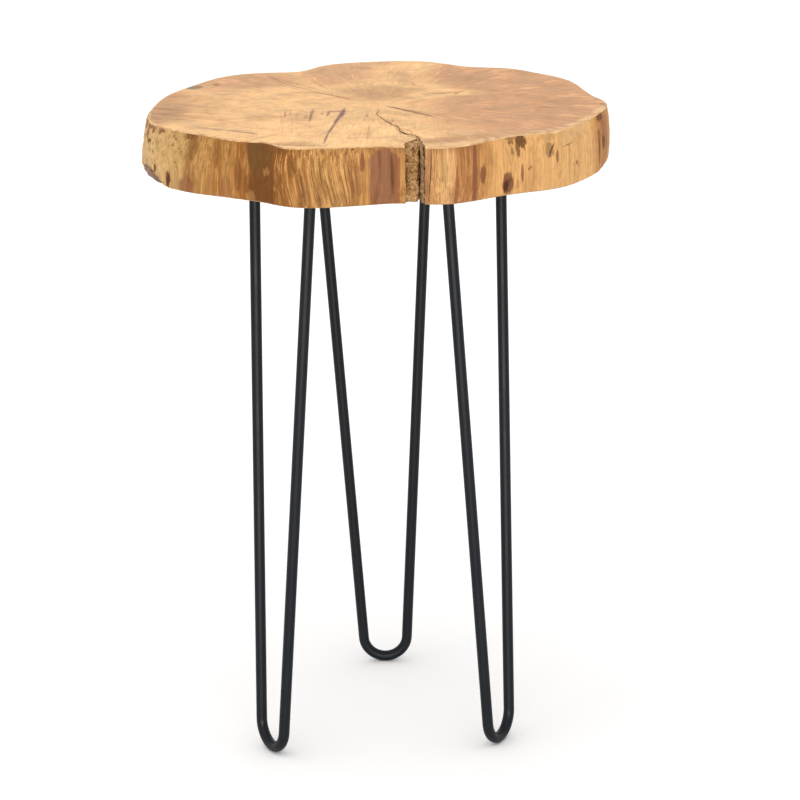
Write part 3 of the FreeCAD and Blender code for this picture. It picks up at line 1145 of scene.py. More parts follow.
# Stains, knots and light patches of the live edge, and painted shade: the dark patch round
# -27 degrees at the front left is painted shade of the hollow there, and the dark pits at the
# left end are dark crumbs with painted shade in them. Each group has the colour seen, then
# rows of degrees from the front, millimetres above the underside, half the width in degrees,
# half the height in millimetres, and strength
EDGE_PATCHES_AND_SHADE = (
    # Mostly painted shade of the hollow round -27 degrees at the front left, with dark stains
    # beside it
    ((120, 73, 30), (
        (-26.8, 11.0, 3.9, 25.0, 0.92), (-24.2, 22.0, 0.9, 26.0, 0.8),
        (-21.5, 47.0, 2.4, 4.5, 0.6), (-30.6, 14.0, 1.4, 10.0, 0.45),
        (-18.6, 34.0, 0.9, 9.0, 0.4), (-16.4, 6.0, 1.0, 8.0, 0.3),
        (-33.4, 22.0, 1.0, 14.0, 0.5), (-47.6, 40.0, 1.3, 13.0, 0.45),
        (-39.8, 38.0, 1.3, 14.0, 0.35), (-49.3, 48.0, 1.4, 3.5, 0.8),
    )),
    # The upper part of the painted shade of the hollow round -27 degrees
    ((119, 79, 38), (
        (-28.6, 50.0, 2.8, 28.0, 0.97), (-25.8, 46.0, 2.1, 17.0, 0.6),
    )),
    ((144, 88, 58), (
        (-3.4, 37.5, 0.6, 8.0, 0.75), (-48.6, 4.0, 2.4, 9.0, 0.6), (-36.6, 8.0, 1.6, 12.0, 0.4),
        (17.5, 15.0, 0.45, 19.0, 0.75), (22.1, 24.0, 0.6, 34.0, 0.9),
        (24.5, 23.0, 0.95, 8.0, 0.9), (20.2, 40.0, 0.5, 8.0, 0.3), (10.9, 14.0, 0.5, 16.0, 0.35),
        (-12.6, 5.0, 0.9, 4.5, 0.5), (-8.4, 8.0, 1.0, 6.0, 0.4), (-5.0, 18.0, 1.0, 8.0, 0.35),
    )),
    ((206, 150, 90), (
        (-25.8, 27.0, 1.1, 3.4, 0.4), (-30.2, 3.5, 1.3, 5.0, 0.4), (-3.2, 25.0, 1.1, 5.0, 0.3),
        (25.6, 42.0, 1.4, 7.0, 0.4),
    )),
    ((176, 112, 70), ((72.5, 38.0, 3.6, 9.0, 0.7), (63.8, 28.0, 0.7, 10.0, 0.3))),
    ((104, 62, 28), (
        (36.0, 45.5, 1.3, 6.0, 0.9), (34.9, 39.0, 0.5, 7.0, 0.75), (33.2, 45.0, 0.8, 2.2, 0.7),
        (33.4, 38.0, 0.4, 2.6, 0.6), (33.0, 48.6, 1.6, 1.2, 0.6), (44.7, 29.5, 0.45, 4.6, 0.7),
        (51.9, 19.0, 0.5, 2.0, 0.75), (50.3, 17.6, 0.3, 1.0, 0.4), (70.6, 24.0, 1.5, 7.0, 0.9),
        (69.0, 47.0, 2.6, 3.6, 0.85), (74.5, 20.0, 0.8, 12.0, 0.6), (66.4, 22.0, 0.6, 16.0, 0.5),
        (66.6, 36.0, 1.0, 2.4, 0.6), (-5.5, 48.6, 0.35, 1.2, 0.9), (-4.5, 46.5, 0.5, 0.9, 0.5),
        (37.7, 21.5, 0.4, 1.7, 0.6), (142.0, 30.0, 0.9, 9.0, 0.3), (-148.0, 18.0, 0.8, 8.0, 0.3),
    )),
    # Knots at the right; at the left end, dark crumbs with painted shade in the pits and hollows
    ((122, 74, 48), (
        (31.8, 11.0, 1.6, 9.5, 0.85), (35.8, 18.5, 0.45, 7.5, 0.75), (34.6, 9.0, 0.4, 5.0, 0.4),
        (-55.1, 7.5, 1.0, 6.4, 0.95), (-62.3, 12.5, 0.75, 3.4, 0.9),
        (-59.4, 46.8, 1.3, 2.4, 0.75), (-66.2, 47.0, 2.4, 2.4, 0.85), (-67.4, 40.0, 1.2, 5.0, 0.75),
        (-72.0, 45.0, 2.2, 4.4, 0.7), (-71.0, 33.0, 1.0, 2.6, 0.7), (-75.0, 24.0, 1.4, 3.0, 0.6),
        (-66.0, 34.4, 1.9, 1.3, 0.9), (-60.5, 37.0, 1.6, 2.2, 0.3),
    )),
    ((80, 40, 28), ((31.4, 8.6, 0.8, 4.6, 0.9), (32.3, 13.4, 0.5, 2.4, 0.5),
                    (-55.1, 6.5, 0.6, 4.2, 0.7))),
    ((164, 130, 84), ((42.9, 35.0, 1.05, 6.5, 0.85), (43.0, 46.0, 1.2, 3.0, 0.45))),
)

# Dark lines on the live edge: both ends as degrees and millimetres, half the width in
# millimetres, and strength
EDGE_LINES = (
    (11.5, 0, 11.9, 50, 0.4, 0.95),
    (12.6, 20, 12.4, 50, 0.25, 0.5),
    (44.0, 40, 42.5, 28.5, 0.7, 0.9),
    (65.5, 5, 67.8, 38, 1.0, 0.75),
    (70.4, 50, 71.6, 30, 0.8, 0.8),
    (73.2, 46, 73.6, 8, 0.7, 0.6),
    (3.5, 10, 3.4, 41, 1.5, 0.75),
    (46.3, 36.2, 50.2, 38.0, 0.5, 0.8),
    (-17.0, 38, -15.2, 0, 0.6, 0.5),
    (-14.4, 36, -12.6, 2, 0.7, 0.6),
    (-12.6, 46, -12.0, 16, 0.5, 0.45),
    (-7.7, 50, -6.8, 16, 0.5, 0.5),
    (-6.6, 20, -6.2, 0, 0.5, 0.5),
    (-10.2, 22, -9.2, 6, 0.6, 0.4),
    (-55.6, 28, -55.0, 19, 0.5, 0.4),
    (-47.6, 24, -47.4, 8, 0.5, 0.5),
    (30.9, 6.5, 32.4, 9.5, 0.5, 0.6),
    (30.9, 12.5, 32.7, 14.0, 0.4, 0.5),
)


def live_edge_material():
    """The bare edge under the bark: upright fibres, with stains, knots and a chip, and painted
    shade in hollows, in pits, under the rim and along the top of the bark remnant.
    """
    shader = Shader("bare_live_edge")
    x, y, z = shader.split(shader.place)
    turn = shader.math("ARCTAN2", x, y * -1) * math.degrees(1)
    height = z - WOOD_LOW.z / MM
    fibrous = shader.smooth(turn, -56, -44).most(shader.smooth(turn, -98, -114))
    strong = shader.smooth(turn, -30, -20) * shader.smooth(turn, -1, -7)
    calm = shader.smooth(turn, 23, 29).least(shader.smooth(turn, 104, 84))
    lean = shader.smooth(height, 38, -6) * strong * -7.0
    leaned = shader.vector("ADD", shader.place, shader.join(lean, 0))
    swayed = shader.strayed(leaned, 1, (5.5, 5.5, 0), detail=1.0,
                            by=shader.scaled(leaned, (1 / 17, 1 / 17, 1 / 52)))
    blotches = shader.noise(shader.place, (20, 20, 34), detail=4.0)
    bands = shader.noise(swayed, (8, 8, 150))
    strands = shader.noise(swayed, (2.2, 2.2, 120))
    hairs = shader.noise(swayed, (0.9, 0.9, 90), detail=4.0)
    mottle = shader.noise(shader.place, 5, detail=4.0)

    # The colours along the edge, on a plan of it rolled out flat
    along_grain = shader.scaled(leaned, (1 / 1.5, 1 / 1.5, 1 / 22))
    unrolled = shader.join(turn * DEGREE, height)
    place = shader.strayed(unrolled, 1, (3.6, 12, 0), detail=4.0, by=along_grain)
    edge_run, edge_height = shader.split(place)[:2]
    edge_turn = edge_run / DEGREE
    stops = [(0.5 + where / 360, tone) for where, tone in EDGE_COLOURS]
    shader.colour = shader.tones(edge_turn / 360 + 0.5, stops)

    # Fibres: rusty blotches, bands, strands, the grooves between them, and hairs
    lively = fibrous * (1 - calm * 0.6)
    shader.tint(shader.smooth(blotches, 0.50, 0.66) * lively * 0.4, (170, 112, 56))
    shader.vary(bands, lively * 0.5 + 0.25)
    pale_strands = shader.smooth(strands, 0.53, 0.66) * (lively * 0.4 + strong * 0.5)
    shader.tint(pale_strands * 0.7, (230, 178, 110))
    dark_strands = shader.smooth(strands, 0.48, 0.35) * (lively * 0.35 + strong * 0.5)
    shader.tint(dark_strands * 0.8, (146, 92, 40))
    grooves = shader.contour(strands, 0.46, 0.026) * (lively * 0.25 + strong * 0.55)
    shader.tint(grooves * 0.8, (120, 72, 30))
    shader.vary(hairs, lively * 0.85 + 0.3)
    shader.vary(mottle, 0.85 - fibrous * 0.5)

    # Pits of the knobbly part, dark crumbs with painted shade in them, and painted shade under
    # the rim
    knobbly = 1 - fibrous
    pits = shader.smooth(blotches + mottle, 0.86, 0.70) * knobbly
    shader.tint(pits * 0.9, (126, 86, 46))
    under_rim = shader.smooth(edge_height, 42, 49) * shader.smooth(bands, 0.44, 0.56)
    shader.tint(under_rim * (1 - calm) * 0.5, (150, 100, 52))

    # The brown panel with an arched top in the middle of the front
    limit = 49.5 - (edge_turn - 1.6) * (edge_turn - 1.6) * 0.75
    panel = shader.smooth(limit - edge_height, 0, 1.6)
    panel = panel * shader.smooth(abs(edge_turn - 1.75), 3.65, 3.25)
    wood = shader.colour
    shader.colour = shader.mix(shader.smooth(bands, 0.4, 0.6), seen(140, 86, 54),
                               seen(162, 108, 74))
    shader.vary(hairs, 0.5)
    shader.tint(shader.smooth(edge_turn, 3.6, 5.0) * 0.8, (170, 104, 58))
    shader.colour = shader.mix(panel * 0.97, wood, shader.colour)

    # Stains, knots, painted shade in hollows and pits, and dark lines
    ragged = shader.strayed(place, 1.8, (1.3, 2.2, 0), detail=3.0, by=unrolled)
    frayed = shader.smooth(hairs, 0.3, 0.5, 0.8, 1)
    for tone, rows in EDGE_PATCHES_AND_SHADE:
        patches = [(x * DEGREE, y, across * DEGREE, up, share)
                   for x, y, across, up, share in rows]
        shader.tint(shader.spots(ragged, patches, soft=0.14) * frayed, tone)
    lines = [(x0 * DEGREE, y0, x1 * DEGREE, y1, wide, share)
             for x0, y0, x1, y1, wide, share in EDGE_LINES]
    bent = shader.strayed(unrolled, 5, (1.2, 1.2, 0), detail=4.0)
    shader.tint(shader.strokes(bent, lines), (100, 60, 28))
    shader.shade(1 + (strands - 0.5) * 0.35 + (hairs - 0.5) * 0.3)

    # The worn strip under the rim at the front right
    bent_height = shader.split(bent)[1]
    line = (turn - 46) * 0.42 + 36 + shader.smooth(turn, 57, 61) * 9
    worn = shader.smooth(bent_height - line, -0.4, 0.6) * shader.smooth(edge_turn, 45.4, 46.4)
    worn = worn * shader.smooth(turn, 61.5, 59)
    worn_colour = shader.mix(shader.smooth(mottle, 0.3, 0.6), seen(204, 160, 108),
                             seen(230, 184, 128))
    shader.colour = shader.mix(worn * 0.7, shader.colour, worn_colour)

    # The bark remnant at the left end, with a painted shadow line along its top
    line = shader.smooth(turn, -84, -70, -1, 10).least(shader.smooth(turn, -65, -55, 10.5, -2))
    in_turn = shader.smooth(turn, -89, -83).least(shader.smooth(turn, -53, -56))
    below = line - bent_height
    layers = shader.noise(shader.join(turn * 0.3, below * 1.1), detail=4.0)
    wood = shader.colour
    shader.colour = shader.tones(layers, ((0.38, (104, 76, 58)), (0.64, (176, 138, 112))))
    # Painted shadow: a dark line along the top of the remnant, under the wood that stands over it
    shader.tint(shader.smooth(below, 1.6, 0.3), (88, 60, 44))
    shader.colour = shader.mix(shader.smooth(below, -0.2, 0.5) * in_turn, wood, shader.colour)
    relief = hairs * 0.6 + strands * 0.6 + mottle * (knobbly * 1.2 + 0.3)
    shader.bump(relief - grooves * 0.3, 0.45, 0.8)
    return shader.finished(shader.smooth(hairs, 0.3, 0.7, 0.66, 0.54), 0.08)


def arris_material():
    """The sanded corner round the upper face, paler than both: partly fresh sanded wood and partly
    a painted highlight along the edge.
    """
    shader = Shader("sanded_arris_and_highlight")
    shift = shader.noise(shader.place, 9, detail=4.0)
    shader.colour = shader.tones(shift, (
        (0.35, (196, 142, 88)), (0.50, (232, 186, 132)), (0.68, (252, 214, 166)),
    ))
    shader.bump(shader.noise(shader.place, 1.5), 0.1)
    return shader.finished(0.6)


def underside_material():
    """The underside, sawn and left raw."""
    shader = Shader("sawn_underside")
    plan = shader.scaled(shader.place, (1, 1, 0))
    swayed = shader.strayed(plan, 60, (14, 14, 0))
    clouds = shader.noise(plan, 55, detail=4.0)
    shader.colour = shader.tones(clouds, ((0.3, (178, 128, 82)), (0.7, (216, 168, 116))))
    saw = shader.noise(shader.scaled(swayed, (0.02, 0.55, 0)))
    shader.shade(shader.smooth(saw, 0.35, 0.65, 0.86, 1.05))
    pores = shader.noise(plan, 1.2, detail=2.0)
    shader.shade(shader.smooth(pores, 0.6, 0.75, 1.0, 0.86))
    shader.bump(saw + pores * 0.4, 0.4)
    return shader.finished(0.75, 0.25)


def crumbly_shader(name, grain, stops):
    """Crumbly bark or torn wood: tones from dark to light and a rough relief."""
    shader = Shader(name)
    crumbs = shader.noise(shader.place, grain, detail=5.0, roughness=0.65)
    lumps = shader.noise(shader.place, grain * 3)
    both = crumbs * 0.65 + lumps * 0.35
    shader.bump(both, 0.9)
    shader.colour = shader.tones(both, stops)
    return shader


def pocket_wall_material():
    """Rough inner wall of the bark pocket."""
    shader = crumbly_shader("pocket_wall", 2.6, (
        (0.36, (96, 70, 46)), (0.46, (170, 132, 92)), (0.60, (214, 178, 134)),
    ))
    return shader.finished(0.85, 0.15)


def check_wall_material():
    """Torn wood inside the drying checks."""
    shader = crumbly_shader("check_wall", 2.0, (
        (0.38, (104, 74, 46)), (0.50, (142, 102, 62)), (0.62, (190, 144, 94)),
    ))
    return shader.finished(0.85, 0.15)


# Bark in the pocket

class TABLE_OT_bark(bpy.types.Operator):
    """Shape the ingrown bark that is left in the pocket"""
    bl_idname = "side_table.bark"
    bl_label = "Ingrown Bark"

    def execute(self, context):
        settings = context.scene.bark_settings
        low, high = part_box("bark_inclusion")
        bark = rough_block("ingrown_bark", BARK_PLAN, low.z, high.z, 1.5, ())
        crust = rough_block("crust", CRUST_PLAN, low.z, high.z, 1.5, CRUST_LUMPS)
        join(bark, crust)
        lump = settings.roughness / MM
        crumble(bark, settings.voxel, ((7.0, lump * 1.4), (3.0, lump), (1.5, lump * 0.8)), 5)
        sunk = 0.1 * MM
        for vertex in bark.data.vertices:
            vertex.co.z = min(max(vertex.co.z, WOOD_LOW.z), WOOD_HIGH.z - sunk)
        paint(bark, bark_material())
        smooth_faces(bark, 70)
        part_of_table(bark, "bark", "bark_inclusion")
        return {"FINISHED"}


def bark_material():
    """Ingrown bark: grey-gold crumbs with dark hollows between."""
    shader = crumbly_shader("ingrown_bark", 1.7, (
        (0.33, (66, 40, 18)), (0.42, (140, 95, 48)), (0.50, (196, 147, 90)),
        (0.62, (240, 196, 138)),
    ))
    across, _, up = shader.split(shader.strayed(shader.place, 5, (3, 3, 0)))
    crust = shader.smooth(across, 34.4, 35.6)
    shader.tint(crust * 0.45, (150, 124, 98))
    top = shader.smooth(up, WOOD_HIGH.z / MM - 3.5, WOOD_HIGH.z / MM - 0.5)
    crumbs = shader.smooth(shader.noise(shader.place, 2.6, detail=4.0), 0.42, 0.6)
    top_colour = shader.mix(crumbs, seen(132, 94, 56), seen(228, 184, 134))
    shader.colour = shader.mix(top * 0.8, shader.colour, top_colour)
    return shader.finished(0.85, 0.15)


# Hairpin legs

ROD_SIDES = 32
BEND_STEPS = 36

# A weld bead: its radius, and how far its middle lies outside the rod and under the plate
BEAD_RADIUS = 2.3 * MM
BEAD_OFFSET = 1.7 * MM
BEAD_DROP = 0.9 * MM
class Leg:
    """Places and directions of one hairpin leg, worked out as the CAD does."""

    def __init__(self, across, back, direction, lean, settings):
        turn = math.radians(direction)
        inward = Vector((-math.cos(turn), -math.sin(turn), 0))
        cross = Vector((0, 0, 1)).cross(-inward)
        rise = inward * math.sin(LEG_SPLAY) + Vector((0, 0, math.cos(LEG_SPLAY)))
        lean = math.radians(lean)
        self.axis = rise * math.cos(lean) + cross * math.sin(lean)
        self.side = cross * math.cos(lean) - rise * math.sin(lean)
        foot = Vector((across, back, 0)) * FOOT_CIRCLE_RADIUS
        foot.z = settings.rod_radius
        self.centre = foot + rise * settings.bend_radius
        self.reach = (PLATE_LOW.z - self.centre.z) / self.axis.z
        half = ROD_SPACING_AT_PLATE / 2
        far = math.acos(settings.bend_radius / math.hypot(half, self.reach))
        self.angle = far - math.atan2(self.reach, half)
        self.bend_radius = settings.bend_radius

    def matrix(self):
        turned = Matrix((self.side, self.axis.cross(self.side), self.axis))
        turned = turned.transposed().to_4x4()
        turned.translation = self.centre
        return turned

    def rod_end(self, hand):
        """Where a rod's centre line meets the plate: hand is -1 or 1."""
        upwards = self.side * (math.sin(self.angle) * hand) + self.axis * math.cos(self.angle)
        outwards = self.side * (math.cos(self.angle) * hand) - self.axis * math.sin(self.angle)
        start = self.centre + outwards * self.bend_radius
        return start + upwards * ((PLATE_LOW.z - start.z) / upwards.z)


def bent_rod(leg, settings):
    """The hairpin standing at the origin: down one rod, round the foot and up the other."""
    spare = 10 * MM
    length = leg.reach / math.cos(leg.angle) + spare
    upwards = Vector((-math.sin(leg.angle), 0, math.cos(leg.angle)))
    start = Vector((-math.cos(leg.angle), 0, -math.sin(leg.angle))) * settings.bend_radius
    deselect()
    bpy.ops.mesh.primitive_circle_add(
        vertices=ROD_SIDES, radius=settings.rod_radius, location=start + upwards * length,
        rotation=(0, -leg.angle, 0),
    )
    rod = named("hairpin_rod")
    edit(rod)
    bpy.ops.mesh.select_all(action="SELECT")
    extrude(-upwards * length)
    bpy.ops.mesh.spin(
        steps=BEND_STEPS, angle=math.pi - 2 * leg.angle, center=(0, 0, 0), axis=(0, 1, 0),
    )
    upwards.x = -upwards.x
    extrude(upwards * length)
    bpy.ops.mesh.select_all(action="SELECT")
    bpy.ops.mesh.remove_doubles(threshold=0.001 * MM)
    turn_outwards()
    return rod


def cut_level(obj, height):
    """Cuts off and closes what stands above a height."""
    edit(obj)
    bpy.ops.mesh.select_all(action="SELECT")
    bpy.ops.mesh.bisect(
        plane_co=(0, 0, height), plane_no=(0, 0, 1), use_fill=True, clear_outer=True,
    )
    leave_edit()


def weld_bead(settings):
    """One rippled bead at the origin, its upper side cut flat where the plate is."""
    deselect()
    bpy.ops.mesh.primitive_torus_add(
        major_radius=settings.rod_radius + BEAD_OFFSET, minor_radius=BEAD_RADIUS,
        major_segments=90, minor_segments=14, location=(0, 0, -BEAD_DROP),
    )
    bead = named("weld_bead")
    for vertex in bead.data.vertices:
        turn = math.atan2(vertex.co.y, vertex.co.x) / math.tau
        slope = vertex.co.z / MM * 0.012
        ripple = ((turn + slope) * settings.ripples) % 1
        wander = noise.noise(vertex.co / (4 * MM))
        vertex.co.xy *= 1 + 0.06 * ripple + 0.05 * wander
        vertex.co.z *= 1 + 0.16 * ripple + 0.10 * wander
    cut_level(bead, 0)
    return bead


def powder_coat(name, settings, roughness):
    """Satin black powder coat with its fine orange-peel skin."""
    shader = Shader(name)
    shade = shader.noise(shader.place, 30)
    lighter = tuple(c * 1.4 for c in settings.coat)
    shader.colour = shader.mix(shade, rgba(settings.coat), rgba(lighter))
    shader.bump(shader.noise(shader.place, 0.9, detail=1.0), 0.03)
    return shader.finished(shader.smooth(shade, 0.3, 0.7, roughness, roughness + 0.1), 0.12)


class TABLE_OT_legs(bpy.types.Operator):
    """Bend the hairpin rods and weld them to their plates"""
    bl_idname = "side_table.legs"
    bl_label = "Hairpin Legs"

    def execute(self, context):
        settings = context.scene.leg_settings
        coat = powder_coat("rod_powder_coat", settings, 0.36)
        legs = {name: Leg(*place, settings) for name, place in LEGS.items()}
        rod_pattern = bent_rod(legs["back"], settings)
        bead_pattern = weld_bead(settings)
        for name, leg in legs.items():
            rod = copy_of(rod_pattern, name + "_bent_rod")
            rod.matrix_world = leg.matrix()
            finish_place(rod)
            cut_level(rod, PLATE_LOW.z)
            beads = [
                copy_at(bead_pattern, name + "_weld_beads", leg.rod_end(hand),
                        hand * 1.1 + leg.centre.x / MM)
                for hand in (-1, 1)
            ]
            pair = join(*beads)
            pair.name = name + "_weld_beads"
            for piece in (rod, pair):
                paint(piece, coat)
                smooth_faces(piece, 40)
            part_of_table(rod, "rod_black_steel", name + "_hairpin_rod")
            part_of_table(pair, "rod_black_steel")
        bpy.data.objects.remove(rod_pattern)
        bpy.data.objects.remove(bead_pattern)
        return {"FINISHED"}


# Mounting plates

PLATE_EDGE = 0.4 * MM


def middle_of(node):
    low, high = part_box(node)
    return (low + high) / 2


def screw_nodes(leg_name):
    return [leg_name + "_screw_" + str(number) for number in (1, 2, 3)]


def plate_turn(leg_name):
    """Turn about Z of a leg's plate and screws, whose patterns face the back."""
    return math.radians(LEGS[leg_name][2] - 90)


def is_rim(edge):
    """True for an edge between a level face and an upright one."""
    if len(edge.link_faces) != 2:
        return False
    first, second = (abs(face.normal.z) for face in edge.link_faces)
    return first + second > 0.9 and first * second < 0.1


def plain_plate(settings):
    """One plate at the origin with rounded corners and eased edges."""
    thickness = PLATE_HIGH.z - PLATE_LOW.z
    deselect()
    bpy.ops.mesh.primitive_cube_add(
        size=1, location=(0, 0, 0), scale=(settings.length, settings.width, thickness),
    )
    plate = named("mounting_plate")
    edit(plate)
    select_upright(plate, thickness)
    bpy.ops.mesh.bevel(offset=settings.corner_radius, segments=8, affect="EDGES")
    select(plate, "EDGE", is_rim)
    bpy.ops.mesh.bevel(offset=PLATE_EDGE, segments=2, affect="EDGES")
    leave_edit()
    return plate


class TABLE_OT_plates(bpy.types.Operator):
    """Shape the three mounting plates under the wooden top"""
    bl_idname = "side_table.plates"
    bl_label = "Mounting Plates"

    def execute(self, context):
        settings = context.scene.plate_settings
        coat = powder_coat("plate_powder_coat", context.scene.leg_settings, 0.4)
        pattern = plain_plate(settings)
        for name in LEGS:
            node = name + "_mounting_plate"
            plate = copy_at(pattern, name + "_flat_plate", middle_of(node), plate_turn(name))
            for screw in screw_nodes(name):
                spot = middle_of(screw)
                deselect()
                bpy.ops.mesh.primitive_cylinder_add(
                    vertices=32, radius=settings.hole_radius, depth=THICKNESS,
                    location=(spot.x, spot.y, PLATE_LOW.z),
                )
                cut(plate, named("screw_hole"))
            paint(plate, coat)
            smooth_faces(plate, 35)
            part_of_table(plate, "plate_black_steel", node)
        bpy.data.objects.remove(pattern)
        return {"FINISHED"}


# Coach screws

# The core of the shank and of the thread, in shares of the radius over the thread, and the
# width of the tip in shares of the shank's
SHANK_CORE = 0.78
THREAD_CORE = 0.72
TIP_SHARE = 0.12
POINT_LENGTH = 5 * MM
HEAD_CHAMFER = 0.7 * MM

# How far the shank starts inside the head, and where the thread starts in its length
SHANK_OVERLAP = 0.2 * MM
THREAD_START = 0.3


def screw_thread(settings, low, high):
    """A closed helical ridge round the Z axis, from one height to another."""
    core = settings.thread_radius * THREAD_CORE
    half = settings.pitch * 0.3
    deselect()
    bpy.ops.mesh.primitive_circle_add(vertices=3, radius=MM, fill_type="NOTHING")
    thread = named("screw_thread")
    profile = ((core, -half), (settings.thread_radius, 0), (core, half))
    for vertex, (across, up) in zip(thread.data.vertices, profile):
        vertex.co = (across, 0, low + up)
    winding = thread.modifiers.new("winding", "SCREW")
    winding.axis = "Z"
    winding.angle = math.tau
    winding.screw_offset = settings.pitch
    winding.iterations = round((high - low) / settings.pitch)
    winding.steps = 16
    winding.render_steps = 16
    winding.use_merge_vertices = False
    apply_modifiers(thread)
    edit(thread)
    select(thread, "EDGE", lambda edge: edge.is_boundary)
    bpy.ops.mesh.fill_holes(sides=3)
    turn_outwards()
    return thread


def coach_screw(settings, low, high):
    """One coach screw at the origin: hexagonal head with a chamfered face, shank and thread."""
    head_height = PLATE_LOW.z - low
    length = high - PLATE_LOW.z
    plain = length - POINT_LENGTH
    deselect()
    bpy.ops.mesh.primitive_cylinder_add(
        vertices=6, radius=settings.across_flats / 2 / math.cos(math.radians(30)),
        depth=head_height, location=(0, 0, -head_height / 2),
    )
    head = named("coach_screw")
    edit(head)
    select(head, "EDGE", lambda edge: all(v.co.z < -head_height * 0.9 for v in edge.verts))
    bpy.ops.mesh.bevel(offset=HEAD_CHAMFER, segments=3, affect="EDGES")
    leave_edit()
    deselect()
    bpy.ops.mesh.primitive_cylinder_add(
        vertices=24, radius=settings.thread_radius * SHANK_CORE, depth=plain,
        location=(0, 0, plain / 2 - SHANK_OVERLAP),
    )
    shank = named("screw_shank")
    edit(shank)
    select(shank, "FACE", lambda face: face.normal.z > 0.9)
    extrude((0, 0, POINT_LENGTH))
    bpy.ops.transform.resize(value=(TIP_SHARE, TIP_SHARE, 1))
    leave_edit()
    return join(head, shank, screw_thread(settings, length * THREAD_START, plain))


def zinc_material():
    """Dark zinc plating of the coach screws."""
    shader = Shader("zinc_plating")
    shade = shader.noise(shader.place, 2.0, detail=4.0)
    shader.colour = shader.ramp(shade, (
        (0.35, (0.20, 0.20, 0.21, 1)), (0.65, (0.34, 0.33, 0.31, 1)),
    ))
    shader.bump(shader.noise(shader.place, 0.4), 0.03)
    return shader.finished(shader.smooth(shade, 0.35, 0.65, 0.32, 0.5), metallic=0.9)


class TABLE_OT_screws(bpy.types.Operator):
    """Model the coach screws that hold the plates"""
    bl_idname = "side_table.screws"
    bl_label = "Coach Screws"

    def execute(self, context):
        low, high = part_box("back_screw_1")
        pattern = coach_screw(context.scene.screw_settings, low.z, high.z)
        paint(pattern, zinc_material())
        for name in LEGS:
            for node in screw_nodes(name):
                spot = middle_of(node)
                spot.z = PLATE_LOW.z
                screw = copy_at(pattern, node.replace("_screw_", "_coach_screw_"), spot,
                                plate_turn(name))
                smooth_faces(screw, 30)
                part_of_table(screw, "screw_steel", node)
        bpy.data.objects.remove(pattern)
        return {"FINISHED"}


# Stage

FLOOR_SIZE = 60

# The camera's downward tilt, its turn to the right and its roll, fitted to the photo, and
# the width of its sensor in millimetres
CAMERA_PITCH = math.radians(16.501)
CAMERA_PAN = math.radians(0.416)
CAMERA_ROLL = math.radians(-0.73)
SENSOR_WIDTH = 36

# Where the broad lamp's light goes, and how wide the lamp looks from the table
KEY_DIRECTION = Vector((0.3, 0.6, -1.3))
KEY_WIDTH = math.radians(80)

# The low lamp in front, which is seen only in the gloss: its middle, width and height
GLINT_PLACE = (0, -1.7, 0.22)
GLINT_WIDTH = 1.6
GLINT_HEIGHT = 0.44
def view_matrix(place, pitch, pan, roll):
    """A camera at place that looks down by pitch, with its picture turned by roll."""
    forward = Vector((
        math.sin(pan) * math.cos(pitch),
        math.cos(pan) * math.cos(pitch),
        -math.sin(pitch),
    ))
    level = Vector((math.cos(pan), -math.sin(pan), 0))
    upright = level.cross(forward)
    right = level * math.cos(roll) + upright * math.sin(roll)
    up = upright * math.cos(roll) - level * math.sin(roll)
    turned = Matrix((right, up, -forward)).transposed().to_4x4()
    turned.translation = place
    return turned


def lay_floor():
    deselect()
    bpy.ops.mesh.primitive_plane_add(size=FLOOR_SIZE, location=(0, 0, 0))
    floor = named("floor")
    shader = Shader("floor_white")
    shader.colour = (0.95, 0.95, 0.95, 1)
    paint(floor, shader.finished(0.9, 0.1))


def light_studio(scene, settings):
    world = bpy.data.worlds.new("studio_white")
    world.use_nodes = True
    sky = world.node_tree.nodes["Background"].inputs
    sky["Color"].default_value = (1, 1, 1, 1)
    sky["Strength"].default_value = settings.sky_strength
    scene.world = world
    deselect()
    bpy.ops.object.light_add(type="SUN", location=(-1.2, -1.5, 2.5))
    key = bpy.context.object
    key.name = "broad_key"
    key.data.energy = settings.key_strength
    key.data.angle = KEY_WIDTH
    key.rotation_euler = KEY_DIRECTION.to_track_quat("-Z", "Y").to_euler()
    deselect()
    bpy.ops.object.light_add(type="AREA", location=GLINT_PLACE)
    glint = bpy.context.object
    glint.name = "low_front_glint"
    glint.data.shape = "RECTANGLE"
    glint.data.size = GLINT_WIDTH
    glint.data.size_y = GLINT_HEIGHT
    glint.data.energy = settings.glint_strength
    glint.rotation_euler = Vector((0, 1, 0)).to_track_quat("-Z", "Z").to_euler()
    glint.visible_diffuse = False
    glint.visible_camera = False


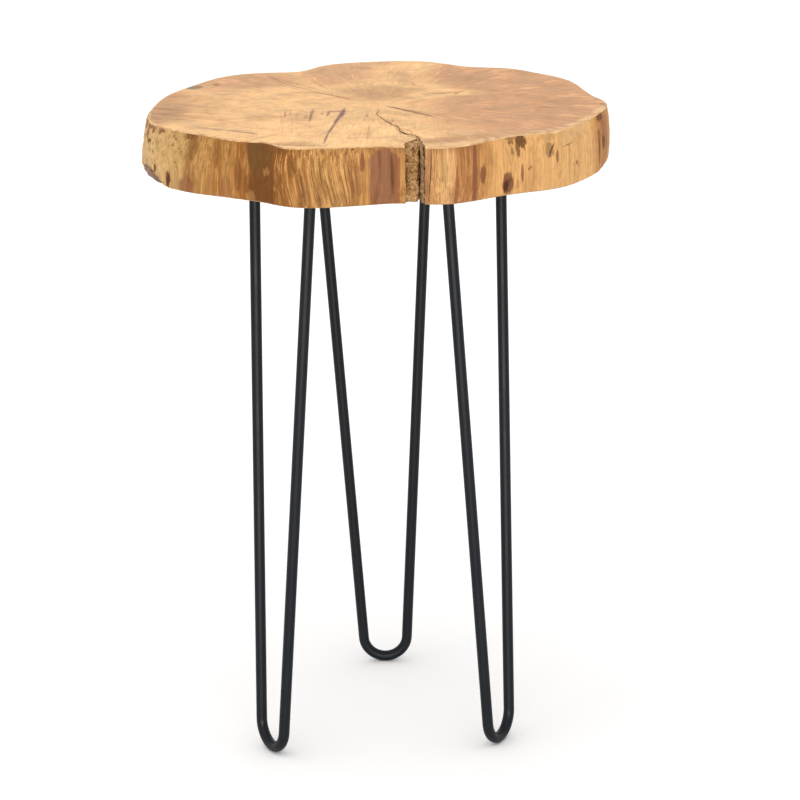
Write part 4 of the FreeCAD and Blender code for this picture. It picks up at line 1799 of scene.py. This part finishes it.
def set_camera(scene, settings):
    deselect()
    bpy.ops.object.camera_add()
    camera = bpy.context.object
    camera.name = "photo_camera"
    camera.matrix_world = view_matrix(
        Vector((0, -settings.camera_distance, settings.camera_height)),
        CAMERA_PITCH, CAMERA_PAN, CAMERA_ROLL,
    )
    camera.data.lens = settings.focal_length
    camera.data.sensor_width = SENSOR_WIDTH
    camera.data.clip_end = 100
    scene.camera = camera
    scene.view_settings.view_transform = "Standard"


class TABLE_OT_stage(bpy.types.Operator):
    """Set the floor, the soft studio light and the camera"""
    bl_idname = "side_table.stage"
    bl_label = "Stage"

    def execute(self, context):
        lay_floor()
        light_studio(context.scene, context.scene.stage_settings)
        set_camera(context.scene, context.scene.stage_settings)
        return {"FINISHED"}


class TABLE_PT_panel(bpy.types.Panel):
    """Builds the pieces of the side table"""
    bl_idname = "TABLE_PT_panel"
    bl_label = "Side Table"
    bl_space_type = "VIEW_3D"
    bl_region_type = "UI"
    bl_category = "Side Table"

    def draw(self, context):
        for operator in OPERATORS:
            self.layout.operator(operator.bl_idname)


SETTINGS = {
    "wood_top_settings": WoodTopSettings,
    "bark_settings": BarkSettings,
    "leg_settings": LegSettings,
    "plate_settings": PlateSettings,
    "screw_settings": ScrewSettings,
    "stage_settings": StageSettings,
}
OPERATORS = (
    TABLE_OT_wood_top, TABLE_OT_bark, TABLE_OT_legs, TABLE_OT_plates, TABLE_OT_screws,
    TABLE_OT_stage,
)
CLASSES = (*SETTINGS.values(), *OPERATORS, TABLE_PT_panel)


def register():
    for cls in CLASSES:
        bpy.utils.register_class(cls)
    for name, group in SETTINGS.items():
        setattr(bpy.types.Scene, name, bpy.props.PointerProperty(type=group))


def unregister():
    for name in SETTINGS:
        delattr(bpy.types.Scene, name)
    for cls in reversed(CLASSES):
        bpy.utils.unregister_class(cls)


def main():
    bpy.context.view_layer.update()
    register()
    bpy.ops.side_table.wood_top()
    bpy.ops.side_table.bark()
    bpy.ops.side_table.legs()
    bpy.ops.side_table.plates()
    bpy.ops.side_table.screws()
    bpy.ops.side_table.stage()


if __name__ == "__main__":
    main()
